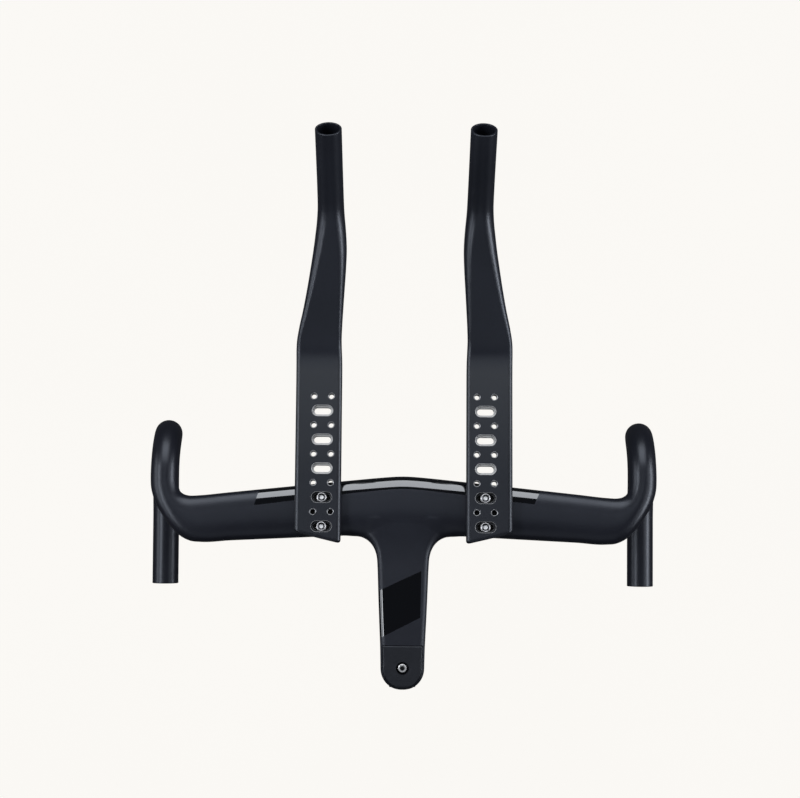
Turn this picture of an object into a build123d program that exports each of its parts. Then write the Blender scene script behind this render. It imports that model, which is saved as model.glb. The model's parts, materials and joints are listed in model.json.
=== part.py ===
from build123d import *
import os
from math import sin, cos, tan, atan2, radians, degrees, pi, hypot

os.makedirs("parts", exist_ok=True)

# ---------------------------------------------------------------------------
# One-piece aero road handlebar and stem with two bolted-on aero extensions.
# Millimetres. +X right, +Y forward, +Z up, square to the extension plates.
# Origin: on the steerer axis, at the bottom face of the steerer clamp.
# ---------------------------------------------------------------------------

# ---- steerer clamp --------------------------------------------------------
steerer_d = 28.6            # steerer tube the clamp is bored for
steerer_lean = 12.0         # degrees, top of the axis leans back
clamp_height = 42.0         # along the steerer axis
clamp_radius = 18.9         # round rear end of the stem
clamp_band = 26.0           # length of the bore that grips the steerer
relief_r = 15.2             # the bore is relieved above the band
slit_width = 1.6            # the clamp is split at the rear
slit_height = 30.0          # the slit is open below and ends under the top cap
pinch_back = 17.3           # pinch bolts pass behind the bore, axis to axis
pinch_heights = (9.0, 23.0)  # above the bottom face, along the steerer axis
pinch_bolt_d = 4.0
pinch_head_d = 7.0
pinch_head_h = 4.0
pinch_nut_d = 6.6
pinch_seats = (10.2, 7.4)   # head and nut seats, out from the middle, lower then upper

# ---- wing -----------------------------------------------------------------
wing_z = 43.6               # height of the wing's mid plane
wing_le_0 = 158.0           # leading edge, straight part carried to x = 0
wing_le_slope = 0.105       # sweep of the leading edge
wing_nose = 1.2             # the nose is rounded off at the middle by this much
wing_te_0 = 107.6           # trailing edge carried to x = 0
wing_te_slope = 0.0485
wing_half_mid = 12.2        # half thickness at the middle
bar_wall = 2.2              # laminate
tube_r = 12.0               # ramps and drops, outside
tube_inner_r = 9.8

# ---- ramps, hooks and drops ----------------------------------------------
ramp_x = 208.45             # hood to hood is twice this
ramp_y = 156.4              # the hook's upper arc starts here
hook_r1 = 41.2              # upper arc
hook_r2 = 78.0              # lower arc
hook_rake = 6.2             # degrees, the hook's front leans back going down
drop_x = 221.0              # centre of the drops
drop_pitch = 5.0            # degrees, the drops fall to the rear
drop_c_c = 118.5            # ramp to drop, centre to centre, below the hook
drop_end_y = 67.0
drop_shoulder = 0.25        # the hook runs in just under the drop, a shallow shoulder for the tape

# ---- stem -----------------------------------------------------------------
stem_slope = 6.0            # degrees, rises forward
stem_top_at_wing = 56.0     # top of the stem above the wing's middle
stem_half_widths = (        # (y, half width)
    (104.0, 24.6), (97.0, 23.9), (85.0, 22.5), (76.0, 22.0), (50.0, 21.1),
    (33.0, 20.4), (16.0, 19.6), (7.0, 19.25),
)
stem_edge_r = 5.0           # rounding of the stem's upper edges
stem_low_edge_r = 3.0
roll_y = -17.7              # behind this the top rolls down to the rear
roll_r = 14.0
web_half = 6.5              # half thickness of the flare from stem to wing

# ---- top cap --------------------------------------------------------------
cap_front_y = 10.3
cap_gap = 0.45
cap_margin = 2.2
cap_thick = 3.2
cap_boss_r = 15.15
cap_boss_h = 5.0
cap_bolt_d = 5.0
cap_bolt_head_d = 7.6
cap_recess_d = 11.2
cap_bolt_l = 9.8            # shank under the head

# ---- extensions -----------------------------------------------------------
plate_top = 65.1
plate_thick = 9.0
plate_in = 53.9             # inboard edge of the plate
plate_out = 93.8            # outboard edge
plate_rear_out = 106.9      # the rear end is cut at a slant
plate_rear_in = 97.4
hole_x = 70.5               # middle of the hole pattern
hole_pitch_x = 15.0
hole_pitch_y = 25.0
hole_rows = 5
hole_first_y = 124.3
slot_first_y = 111.8
slot_length = 14.6          # through slot, tip to tip
slot_width = 5.8
slot_sink_length = 17.6     # recess round each slot
slot_sink_width = 9.1
slot_sink_depth = 4.2
tip_r = 11.15               # extension tube, outside
tip_inner_r = 9.4
tip_rise = 45.5             # degrees above the plate
insert_d = 4.4              # threaded inserts for the arm rests
insert_flange_d = 6.1
insert_flange_h = 0.8
insert_body_r = 2.75

# ---- fasteners that hold the extensions ----------------------------------
bolt_d = 5.0
bolt_head_d = 8.3
bolt_head_h = 2.8
washer_d = 8.8
washer_h = 1.0
bar_insert_d = 8.0
bar_insert_len = 9.0
boss_r = 7.5                # solid laminate moulded round each insert


def section(a, b, n):
    """Superellipse of half sizes a and b, drawn as four arcs that meet square to the axes."""
    q = []
    for k in range(10):
        t = radians(10 * k)
        q.append((a * cos(t) ** (2 / n), b * sin(t) ** (2 / n)))
    q[0], q[-1] = (a, 0.0), (0.0, b)
    Spline(*q, tangents=((0, 1), (-1, 0)))
    Spline(*[(-x, y) for x, y in reversed(q)], tangents=((-1, 0), (0, -1)))
    Spline(*[(-x, -y) for x, y in q], tangents=((0, -1), (1, 0)))
    Spline(*[(x, -y) for x, y in reversed(q)], tangents=((1, 0), (0, 1)))


# ---- stations of the wing and its corners, right half ---------------------
# (outer or rear point, inner or front point, half thickness, fullness)
def wing_station(x):
    front = wing_le_0 - hypot(wing_nose, wing_le_slope * x)
    half = wing_half_mid if x < 20 else wing_half_mid - 1.4 * min((x - 20) / 80.0, 1.0)
    return ((x, wing_te_0 - wing_te_slope * x), (x, front), half, 2.7)


corner = (
    ((177.2, 98.9), (178.6, 139.2), 10.9, 2.65),
    ((184.4, 99.6), (184.6, 138.9), 11.1, 2.6),
    ((192.2, 103.0), (189.0, 139.5), 11.4, 2.5),
    ((200.6, 110.4), (192.4, 141.0), 11.7, 2.35),
    ((209.2, 121.7), (194.8, 143.4), 11.9, 2.2),
    ((216.4, 134.2), (195.9, 147.6), 12.0, 2.05),
    ((219.8, 145.6), (196.3, 152.0), 12.0, 2.0),
    ((ramp_x + tube_r, ramp_y), (ramp_x - tube_r, ramp_y), 12.0, 2.0),
)


def station_plane(outer, inner):
    """Plane across the bar, and its half width: local x points to the front or inner side, local y is up."""
    dx, dy = inner[0] - outer[0], inner[1] - outer[1]
    length = hypot(dx, dy)
    u = Vector(dx / length, dy / length, 0)
    return Plane(origin=((outer[0] + inner[0]) / 2, (outer[1] + inner[1]) / 2, wing_z),
                 x_dir=u, z_dir=u.cross(Vector(0, 0, 1))), length / 2


# ---- path of the hook and drop, right side --------------------------------
def hook_path():
    """Points after the ramp, round the hook, to where the drop runs straight."""
    rake, pitch = radians(hook_rake), radians(drop_pitch)
    pts = []
    for k in range(1, 9):
        a = radians(90.0 - (90.0 + hook_rake) * k / 8)
        pts.append((ramp_y + hook_r1 * cos(a), wing_z - hook_r1 + hook_r1 * sin(a)))
    y1, z1 = pts[-1]
    # straight run between the arcs, down to where the lower arc meets the drop
    to_centre = (-cos(rake) * hook_r2, sin(rake) * hook_r2)
    run = (z1 + to_centre[1] - hook_r2 * cos(pitch) - (wing_z - drop_c_c)) / cos(rake)
    y2, z2 = y1 - sin(rake) * run, z1 - cos(rake) * run
    cy, cz = y2 + to_centre[0], z2 + to_centre[1]
    a0 = atan2(z2 - cz, y2 - cy)
    for k in range(8):
        a = a0 - (pi / 2 - rake - pitch) * k / 7
        pts.append((cy + hook_r2 * cos(a), cz + hook_r2 * sin(a)))
    out = []
    for y, z in pts:
        t = min(max((wing_z - z) / drop_c_c, 0.0), 1.0)
        u = t ** 1.3
        out.append(Vector(ramp_x + (drop_x - ramp_x) * u * u * (3 - 2 * u), y, z))
    return out


drop_way = Vector(0, -cos(radians(drop_pitch)), -sin(radians(drop_pitch)))


def path_planes(points):
    """A plane square to the path at each point: local x points inboard, local y is up on the ramp."""
    planes = []
    for k, p in enumerate(points):
        if k == len(points) - 1:
            t = drop_way
        elif k == 0:
            t = (points[1] - Vector(ramp_x, ramp_y, wing_z)).normalized()
        else:
            t = (points[k + 1] - points[k - 1]).normalized()
        planes.append(Plane(origin=p, x_dir=(-1, 0, 0), z_dir=t))
    return planes


def mirrored(plane):
    """The same station on the left side, still running from left to right."""
    o, x, z = plane.origin, plane.x_dir, plane.z_dir
    return Plane(origin=(-o.X, o.Y, o.Z), x_dir=(-x.X, x.Y, x.Z), z_dir=(z.X, -z.Y, -z.Z))


def bar_stations(wall):
    """(plane, half width, half thickness, fullness) from the left ramp, through the wing, to the right ramp."""
    right = []
    for outer, inner, half, n in [wing_station(x) for x in (16, 32, 50, 75, 100, 125, 150)] + list(corner):
        plane, a = station_plane(outer, inner)
        right.append((plane, a - wall, half - wall, n))
    outer, inner, half, n = wing_station(0)
    plane, a = station_plane(outer, inner)
    left = [(mirrored(p), w, h, m) for p, w, h, m in reversed(right)]
    return left + [(plane, a - wall, half - wall, n)] + right


def hook_stations(wall):
    """The same from the right ramp round the hook to the straight drop."""
    outer, inner, half, n = corner[-1]
    plane, a = station_plane(outer, inner)
    radii = [tube_r] * (len(hook_path()) - 1) + [tube_r - drop_shoulder]
    return [(plane, a - wall, half - wall, n)] + [
        (p, r - wall, r - wall, 2.0) for p, r in zip(path_planes(hook_path()), radii)]


# ---- axes and surfaces of the stem ----------------------------------------
lean = radians(steerer_lean)
up_axis = Vector(0, -sin(lean), cos(lean))
back_axis = Vector(0, -cos(lean), -sin(lean))
steerer_plane = Plane(origin=(0, 0, 0), x_dir=(1, 0, 0), z_dir=up_axis)
slope = radians(stem_slope)
top_normal = Vector(0, -sin(slope), cos(slope))
rear_y = -clamp_height * sin(lean)          # centre of the round rear end


def stem_top(y):
    return stem_top_at_wing - (130.0 - y) * tan(slope)


cap_plane = Plane(origin=(0, 0, stem_top(0)), x_dir=(1, 0, 0), z_dir=top_normal)


def pinch_plane(k):
    """Plane across pinch bolt k; local z runs from its nut to its head."""
    side = 1 if k == 0 else -1
    centre = up_axis * pinch_heights[k] + back_axis * pinch_back
    return Plane(origin=centre, x_dir=(0, side, 0), z_dir=(side, 0, 0))


def insert_top(y):
    """The inserts in the wing stop just under its skin, which is lower near the trailing edge."""
    return 50.9 if y < 120 else 53.3


bolt_rows = (slot_first_y, slot_first_y + hole_pitch_y)


def stem_half(y):
    """Half width of the stem at y, between the measured stations."""
    table = ((130.0, stem_half_widths[0][1]),) + stem_half_widths + ((rear_y, clamp_radius),)
    for (y1, w1), (y0, w0) in zip(table, table[1:]):
        if y >= y0:
            return w0 + (w1 - w0) * (y - y0) / (y1 - y0)
    return clamp_radius


def stem_outline(margin, front):
    """Plan outline of the stem, drawn in y from its round rear end to the front."""
    pts = [(stem_half(front) - margin, front)]
    pts += [(hw - margin, y) for y, hw in stem_half_widths if y < front - 1.0]
    r = clamp_radius - margin
    join = (r * cos(radians(4)), rear_y + r * sin(radians(4)))
    right = Spline(*pts, join, tangents=((0, -1), (sin(radians(4)), -cos(radians(4)))))
    ThreePointArc(join, (0, rear_y - r), (-join[0], join[1]))
    Spline(*[(-x, y) for x, y in reversed([*pts, join])],
           tangents=((sin(radians(4)), cos(radians(4))), (0, 1)))
    Line((-pts[0][0], front), (pts[0][0], front))


def rear_roll():
    """Side profile of what is taken off above the rolled-down rear end, from its start to well behind it."""
    cy, cz = roll_y + roll_r * sin(slope), stem_top(roll_y) - roll_r * cos(slope)
    points = [(cy + roll_r * cos(radians(a)), cz + roll_r * sin(radians(a))) for a in (96.0, 128.0, 160.0)]
    ThreePointArc(*points)
    Polyline(points[2], (-45.0, points[2][1]), (-45.0, points[0][1] + 12.0), (points[0][0], points[0][1] + 12.0), points[0])


# ---------------------------------------------------------------------------
# forms that are cut away or shared
# ---------------------------------------------------------------------------
drop_plane = hook_stations(0.0)[-1][0]
drop_length = (drop_plane.origin.Y - drop_end_y) / cos(radians(drop_pitch))
with BuildPart() as bar_outer:
    for plane, a, b, n in hook_stations(0.0):
        with BuildSketch(plane):
            with BuildLine():
                section(a, b, n)
            make_face()
    loft()
    with BuildSketch(drop_plane):
        Circle(tube_r)
    extrude(amount=drop_length)
    mirror(about=Plane.YZ)
with BuildPart() as wing_outer:
    for plane, a, b, n in bar_stations(0.0):
        with BuildSketch(plane):
            with BuildLine():
                section(a, b, n)
            make_face()
    loft()

with BuildPart() as hook_hollow:
    for plane, a, b, n in hook_stations(bar_wall):
        with BuildSketch(plane):
            with BuildLine():
                section(a, b, n)
            make_face()
    loft()
    with BuildSketch(drop_plane):
        Circle(tube_inner_r)
    extrude(amount=drop_length + 3.0)
    mirror(about=Plane.YZ)
with BuildPart() as wing_hollow:
    for plane, a, b, n in bar_stations(bar_wall):
        with BuildSketch(plane):
            with BuildLine():
                section(a, b, n)
            make_face()
    loft()
    # solid laminate is left round the four inserts
    for x in (-hole_x, hole_x):
        for y in (slot_first_y, slot_first_y + hole_pitch_y):
            with BuildSketch(Plane.XY.offset(wing_z - 1.0)):
                with Locations((x, y)):
                    Circle(boss_r)
            extrude(amount=20, mode=Mode.SUBTRACT)

with BuildPart() as stem_hollow:
    with BuildSketch(Plane.XY):
        with BuildLine():
            Polyline((-19.6, 118), (-18.3, 84), (-17.0, 42), (-15.5, 24), (15.5, 24), (17.0, 42), (18.3, 84), (19.6, 118), close=True)
        make_face()
    extrude(amount=70)
    with BuildSketch(Plane.YZ):
        with BuildLine():
            Polyline((22.0, stem_top(22) - 6.0), (30.0, stem_top(30) - 3.0), (118, stem_top(118) - 3.0), (118, 35.0), (96, 33.5), (60, 27.0), (40, 17.5), (22.0, 9.5), close=True)
        make_face()
    extrude(amount=40, both=True, mode=Mode.INTERSECT)

# ---------------------------------------------------------------------------
# bar_stem: wing, ramps, hooks, drops and stem in one moulding
# ---------------------------------------------------------------------------
with BuildPart() as bar_stem:
    # the stem: plan outline cut to its side profile
    with BuildSketch(Plane.XY.offset(-10)):
        with BuildLine():
            stem_outline(0.0, 122.0)
        make_face()
    extrude(amount=80)
    with BuildSketch(Plane.YZ):
        with BuildLine():
            Polyline((-32, stem_top(-32)), (112, stem_top(112)), (122, stem_top(112) - 0.6), (122, 33.4), (108, 32.6))
            Spline((108, 32.6), (84, 29.2), (60, 23.6), (40, 13.6), (24, 24 * tan(lean)),
                   tangents=((-1, -0.08), (-cos(lean), -sin(lean))))
            Polyline((24, 24 * tan(lean)), (-32, -32 * tan(lean)), (-32, stem_top(-32)))
        make_face()
    extrude(amount=60, both=True, mode=Mode.INTERSECT)
    along = bar_stem.edges().filter_by(lambda e: abs(e.center().Y - 122) > 0.5 and abs(e.center().Y - 112) > 0.5
                                       and abs(e.center().Y - 117) > 0.5 and abs(e.tangent_at(0.5).Z) < 0.9)
    tops = along.filter_by(lambda e: e.center().Z > stem_top(e.center().Y) - 1.0)
    lows = along.filter_by(lambda e: e.center().Z < 33 and e.center().Z < stem_top(e.center().Y) - 8.0
                           and (abs(e.center().X) > 3 or e.center().Y < -20))
    fillet(tops, stem_edge_r)
    fillet(lows, stem_low_edge_r)
    # the top rolls down to the rear end
    with BuildSketch(Plane.YZ):
        with BuildLine():
            rear_roll()
        make_face()
    extrude(amount=40, both=True, mode=Mode.SUBTRACT)
    # webs that flare the stem into the trailing edge of the wing
    with BuildSketch(Plane.XY.offset(wing_z - web_half)):
        with BuildLine():
            Polyline((46.0, 105.4), (46.0, 112), (18, 112), (18, 86.0), (22.4, 86.0))
            Spline((22.4, 86.0), (24.6, 94.0), (30.0, 100.7), (37.0, 104.2), (46.0, 105.4), tangents=((0.05, 1), (1, 0.03)))
        make_face()
        mirror(about=Plane.YZ)
    extrude(amount=2 * web_half)
    add(bar_outer.part)
    add(wing_outer.part)
    # hollow, open at both drop ends
    add(hook_hollow.part, mode=Mode.SUBTRACT)
    add(wing_hollow.part, mode=Mode.SUBTRACT)
    add(stem_hollow.part, mode=Mode.SUBTRACT)
    # steerer bore
    with BuildSketch(steerer_plane.offset(-8)):
        Circle(steerer_d / 2)
    extrude(amount=clamp_height + 20, mode=Mode.SUBTRACT)
    # relief above the clamping band, where the cap's spigot sits
    with BuildSketch(steerer_plane.offset(clamp_band)):
        Circle(relief_r)
    extrude(amount=clamp_height, mode=Mode.SUBTRACT)
    # shallow seat for the top cap
    with BuildSketch(cap_plane.offset(-cap_thick)):
        with BuildLine():
            stem_outline(cap_margin - cap_gap, cap_front_y + cap_gap)
        make_face()
    extrude(amount=12, mode=Mode.SUBTRACT)
    # slit at the rear of the clamp
    with BuildSketch(steerer_plane.offset(-15)):
        with Locations((0, -24)):
            Rectangle(slit_width, 26)
    extrude(amount=15 + slit_height, mode=Mode.SUBTRACT)
    # holes and seats of the pinch bolts
    for k in (0, 1):
        with BuildSketch(pinch_plane(k).offset(-40)):
            Circle(pinch_bolt_d / 2 + 0.15)
        extrude(amount=80, mode=Mode.SUBTRACT)
        with BuildSketch(pinch_plane(k).offset(pinch_seats[k])):
            Circle(pinch_head_d / 2 + 0.3)
        extrude(amount=30, mode=Mode.SUBTRACT)
        with BuildSketch(pinch_plane(k).offset(-pinch_seats[k])):
            Circle(pinch_nut_d / 2 + 0.1)
        extrude(amount=-30, mode=Mode.SUBTRACT)
    # pockets for the inserts that take the extensions' bolts
    for y in bolt_rows:
        with BuildSketch(Plane.XY.offset(insert_top(y) - bar_insert_len)):
            with Locations((hole_x, y), (-hole_x, y)):
                Circle(bar_insert_d / 2)
        extrude(amount=20, mode=Mode.SUBTRACT)
bar_stem.part.label = "bar_stem"
export_step(bar_stem.part, "parts/bar_stem.step")

# ---------------------------------------------------------------------------
# stem_top_cap and the bolt through it
# ---------------------------------------------------------------------------
with BuildPart() as stem_top_cap:
    with BuildSketch(cap_plane.offset(-cap_thick)):
        with BuildLine():
            stem_outline(cap_margin, cap_front_y)
        make_face()
    extrude(amount=cap_thick)
    fillet(stem_top_cap.faces().sort_by(Axis((0, 0, 0), top_normal))[-1].edges(), 0.8)
    with BuildSketch(Plane.YZ):
        with BuildLine():
            rear_roll()
        make_face()
    extrude(amount=40, both=True, mode=Mode.SUBTRACT)
    # spigot that sits in the bore and carries the bolt's head
    with BuildSketch(steerer_plane.offset(clamp_height - cap_thick - cap_boss_h)):
        Circle(cap_boss_r)
    extrude(amount=cap_boss_h)
    with BuildSketch(steerer_plane.offset(clamp_height - 5.6)):
        Circle(cap_recess_d / 2)
    extrude(amount=20, mode=Mode.SUBTRACT)
    with BuildSketch(steerer_plane.offset(clamp_height - 30)):
        Circle(cap_bolt_d / 2 + 0.2)
    extrude(amount=30, mode=Mode.SUBTRACT)
stem_top_cap.part.label = "stem_top_cap"
export_step(stem_top_cap.part, "parts/stem_top_cap.step")

with BuildPart() as top_cap_bolt:
    with BuildSketch(steerer_plane.offset(clamp_height - 5.6)):
        Circle(cap_bolt_head_d / 2)
    extrude(amount=5.0)
    chamfer(top_cap_bolt.edges().sort_by(Axis((0, 0, 0), up_axis))[-1], 0.45)
    with BuildSketch(steerer_plane.offset(clamp_height - 5.6)):
        Circle(cap_bolt_d / 2)
    extrude(amount=-cap_bolt_l)
    chamfer(top_cap_bolt.edges().sort_by(Axis((0, 0, 0), up_axis))[0], 0.5)
    with BuildSketch(steerer_plane.offset(clamp_height - 0.6)):
        RegularPolygon(2.0, 6, major_radius=False)
    extrude(amount=-2.9, mode=Mode.SUBTRACT)
top_cap_bolt.part.label = "top_cap_bolt"
export_step(top_cap_bolt.part, "parts/top_cap_bolt.step")

# ---------------------------------------------------------------------------
# pinch bolts and their nuts
# ---------------------------------------------------------------------------
with BuildPart() as lower_pinch_bolt:
    with BuildSketch(pinch_plane(0).offset(pinch_seats[0])):
        Circle(pinch_head_d / 2)
    extrude(amount=pinch_head_h)
    chamfer(lower_pinch_bolt.edges().sort_by(Axis.X)[-1], 0.4)
    with BuildSketch(pinch_plane(0).offset(pinch_seats[0])):
        Circle(pinch_bolt_d / 2)
    extrude(amount=-(2 * pinch_seats[0] + 3.6))
    with BuildSketch(pinch_plane(0).offset(pinch_seats[0] + pinch_head_h)):
        RegularPolygon(1.5, 6, major_radius=False)
    extrude(amount=-2.2, mode=Mode.SUBTRACT)
lower_pinch_bolt.part.label = "lower_pinch_bolt"
export_step(lower_pinch_bolt.part, "parts/lower_pinch_bolt.step")

with BuildPart() as upper_pinch_bolt:
    with BuildSketch(pinch_plane(1).offset(pinch_seats[1])):
        Circle(pinch_head_d / 2)
    extrude(amount=pinch_head_h)
    chamfer(upper_pinch_bolt.edges().sort_by(Axis.X)[0], 0.4)
    with BuildSketch(pinch_plane(1).offset(pinch_seats[1])):
        Circle(pinch_bolt_d / 2)
    extrude(amount=-(2 * pinch_seats[1] + 3.6))
    with BuildSketch(pinch_plane(1).offset(pinch_seats[1] + pinch_head_h)):
        RegularPolygon(1.5, 6, major_radius=False)
    extrude(amount=-2.2, mode=Mode.SUBTRACT)
upper_pinch_bolt.part.label = "upper_pinch_bolt"
export_step(upper_pinch_bolt.part, "parts/upper_pinch_bolt.step")

with BuildPart() as lower_pinch_nut:
    with BuildSketch(pinch_plane(0).offset(-pinch_seats[0])):
        Circle(pinch_nut_d / 2)
        Circle(pinch_bolt_d / 2 + 0.02, mode=Mode.SUBTRACT)
    extrude(amount=-pinch_head_h)
lower_pinch_nut.part.label = "lower_pinch_nut"
export_step(lower_pinch_nut.part, "parts/lower_pinch_nut.step")

with BuildPart() as upper_pinch_nut:
    with BuildSketch(pinch_plane(1).offset(-pinch_seats[1])):
        Circle(pinch_nut_d / 2)
        Circle(pinch_bolt_d / 2 + 0.02, mode=Mode.SUBTRACT)
    extrude(amount=-pinch_head_h)
upper_pinch_nut.part.label = "upper_pinch_nut"
export_step(upper_pinch_nut.part, "parts/upper_pinch_nut.step")

# ---------------------------------------------------------------------------
# extensions: a flat drilled plate that runs into a rising tube, one moulding
# ---------------------------------------------------------------------------
# (y, z, centre x, half width, half height, corner radius) along the centre line
ext_rows = (
    (90.0, 60.6, 73.85, 19.95, 4.5, 3.6),
    (238.0, 60.6, 73.85, 19.95, 4.5, 3.6),
    (247.0, 60.6, 73.9, 19.95, 4.5, 3.6),
    (256.2, 60.7, 74.0, 19.9, 4.5, 3.6),
    (264.2, 61.6, 74.2, 19.75, 4.6, 3.65),
    (272.6, 64.2, 74.1, 19.4, 4.95, 3.8),
    (282.6, 68.3, 73.0, 18.7, 5.8, 4.3),
    (299.0, 75.1, 70.5, 17.3, 6.7, 5.2),
    (315.3, 81.9, 68.2, 16.2, 7.6, 6.3),
    (331.5, 88.65, 66.1, 15.3, 8.5, 7.4),
    (347.6, 95.35, 64.4, 14.25, 9.4, 8.7),
    (359.6, 100.35, 63.8, 13.15, 10.05, 9.6),
    (367.6, 103.8, 63.6, 12.3, 10.5, 10.2),
    (373.4, 106.7, 63.6, 11.75, 10.8, 10.6),
    (379.4, 110.4, 63.6, 11.35, 11.05, 10.9),
    (385.4, 115.3, 63.65, 11.2, 11.15, 11.05),
    (392.0, 121.6, 63.75, 11.15, 11.15, 11.1),
)
ext_tip = (434.3, 164.2, 64.5)      # middle of the open end


def refined(rows, step):
    """More stations, on smooth curves through the given rows."""
    out = []
    for k in range(len(rows) - 1):
        p0, p1, p2, p3 = rows[max(k - 1, 0)], rows[k], rows[k + 1], rows[min(k + 2, len(rows) - 1)]
        s1 = hypot(p2[0] - p1[0], p2[1] - p1[1])
        s0 = hypot(p1[0] - p0[0], p1[1] - p0[1]) or s1
        s2 = hypot(p3[0] - p2[0], p3[1] - p2[1]) or s1
        parts = max(1, round(s1 / step)) if s1 < 40 and 0 < k < len(rows) - 3 else 1
        for j in range(parts):
            t = j / parts
            row = []
            for c0, c1, c2, c3 in zip(p0, p1, p2, p3):
                m1 = ((c1 - c0) / s0 * s1 + (c2 - c1) / s1 * s0) / (s0 + s1) * s1
                m2 = ((c2 - c1) / s1 * s2 + (c3 - c2) / s2 * s1) / (s1 + s2) * s1
                row.append((2 * t ** 3 - 3 * t ** 2 + 1) * c1 + (t ** 3 - 2 * t ** 2 + t) * m1
                           + (3 * t ** 2 - 2 * t ** 3) * c2 + (t ** 3 - t ** 2) * m2)
            out.append(tuple(row))
    return out + [rows[-1]]


def ext_stations(wall):
    """(plane, half width, half height, corner radius) from the rear of the plate to the round tube."""
    rows = refined(ext_rows, 4.0)
    out = []
    for k, (y, z, cx, a, b, r) in enumerate(rows):
        y0, z0 = rows[max(k - 1, 0)][:2]
        y1, z1 = rows[min(k + 1, len(rows) - 1)][:2]
        way = Vector(0, y1 - y0, z1 - z0)
        if k == len(rows) - 1:
            way = Vector(ext_tip[2] - cx, ext_tip[0] - y, ext_tip[1] - z)
        side = Vector(0, 0, 1).cross(Vector(0, 1, 0)) if k < len(rows) - 1 else way.cross(Vector(0, -way.Z, way.Y)) * -1
        out.append((Plane(origin=(cx, y, z), x_dir=side, z_dir=way), a - wall, b - wall, r - wall))
    return out


def rounded_section(a, b, r):
    """Rectangle of half sizes a and b with corners of radius r."""
    k = r * sin(pi / 4)
    Line((a, r - b), (a, b - r))
    ThreePointArc((a, b - r), (a - r + k, b - r + k), (a - r, b))
    Line((a - r, b), (r - a, b))
    ThreePointArc((r - a, b), (r - a - k, b - r + k), (-a, b - r))
    Line((-a, b - r), (-a, r - b))
    ThreePointArc((-a, r - b), (r - a - k, r - b - k), (r - a, -b))
    Line((r - a, -b), (a - r, -b))
    ThreePointArc((a - r, -b), (a - r + k, r - b - k), (a, r - b))


tip_length = hypot(ext_tip[0] - ext_rows[-1][0], ext_tip[1] - ext_rows[-1][1], ext_tip[2] - ext_rows[-1][2])

with BuildPart() as tip_hollow:
    for plane, a, b, r in ext_stations(tip_r - tip_inner_r):
        if plane.origin.Y > 290:
            with BuildSketch(plane):
                with BuildLine():
                    rounded_section(a, b, r)
                make_face()
    loft(ruled=True)
    with BuildSketch(ext_stations(0.0)[-1][0]):
        Circle(tip_inner_r)
    extrude(amount=tip_length + 3.0)

with BuildPart() as right_extension:
    for plane, a, b, r in ext_stations(0.0):
        with BuildSketch(plane):
            with BuildLine():
                rounded_section(a, b, r)
            make_face()
    loft(ruled=True)
    with BuildSketch(ext_stations(0.0)[-1][0]):
        Circle(tip_r)
    extrude(amount=tip_length)
    # the tube is hollow and open at its tip
    add(tip_hollow.part, mode=Mode.SUBTRACT)
    # slanted rear end with rounded corners
    with BuildSketch(Plane.XY.offset(plate_top - 20)):
        with Locations((73.85, 90.0)):
            Rectangle(60.0, 60.0)
        with BuildLine():
            FilletPolyline((plate_in, plate_rear_in), (plate_out, plate_rear_out), (plate_out, 150), (plate_in, 150),
                           radius=3.0, close=True)
        make_face(mode=Mode.SUBTRACT)
    extrude(amount=40, mode=Mode.SUBTRACT)
    # slots with a recess for the bolt heads
    slots = [(hole_x, slot_first_y + hole_pitch_y * k) for k in range(hole_rows)]
    with BuildSketch(Plane.XY.offset(plate_top - slot_sink_depth)):
        with Locations(*slots):
            SlotOverall(slot_sink_length, slot_sink_width)
    extrude(amount=20, mode=Mode.SUBTRACT)
    with BuildSketch(Plane.XY.offset(plate_top - 20)):
        with Locations(*slots):
            SlotOverall(slot_length, slot_width)
    extrude(amount=40, mode=Mode.SUBTRACT)
    # seats for the threaded inserts
    holes = [(hole_x + sx * hole_pitch_x / 2, hole_first_y + hole_pitch_y * k) for k in range(hole_rows) for sx in (-1, 1)]
    with BuildSketch(Plane.XY.offset(plate_top - 20)):
        with Locations(*holes):
            Circle(insert_body_r)
    extrude(amount=40, mode=Mode.SUBTRACT)
    with BuildSketch(Plane.XY.offset(plate_top - insert_flange_h)):
        with Locations(*holes):
            Circle(insert_flange_d / 2)
    extrude(amount=10, mode=Mode.SUBTRACT)
right_extension.part.label = "right_extension"
export_step(right_extension.part, "parts/right_extension.step")

with BuildPart() as left_extension:
    mirror(right_extension.part, about=Plane.YZ)
left_extension.part.label = "left_extension"
export_step(left_extension.part, "parts/left_extension.step")

with BuildPart() as right_armrest_inserts:
    with BuildSketch(Plane.XY.offset(plate_top - insert_flange_h)):
        with Locations(*holes):
            Circle(insert_flange_d / 2 - 0.02)
            Circle(insert_d / 2, mode=Mode.SUBTRACT)
    extrude(amount=insert_flange_h)
    with BuildSketch(Plane.XY.offset(plate_top - 8.0)):
        with Locations(*holes):
            Circle(insert_body_r - 0.02)
            Circle(insert_d / 2, mode=Mode.SUBTRACT)
    extrude(amount=8.0 - insert_flange_h)
right_armrest_inserts.part.label = "right_armrest_inserts"
export_step(right_armrest_inserts.part, "parts/right_armrest_inserts.step")

with BuildPart() as left_armrest_inserts:
    mirror(right_armrest_inserts.part, about=Plane.YZ)
left_armrest_inserts.part.label = "left_armrest_inserts"
export_step(left_armrest_inserts.part, "parts/left_armrest_inserts.step")

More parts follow.
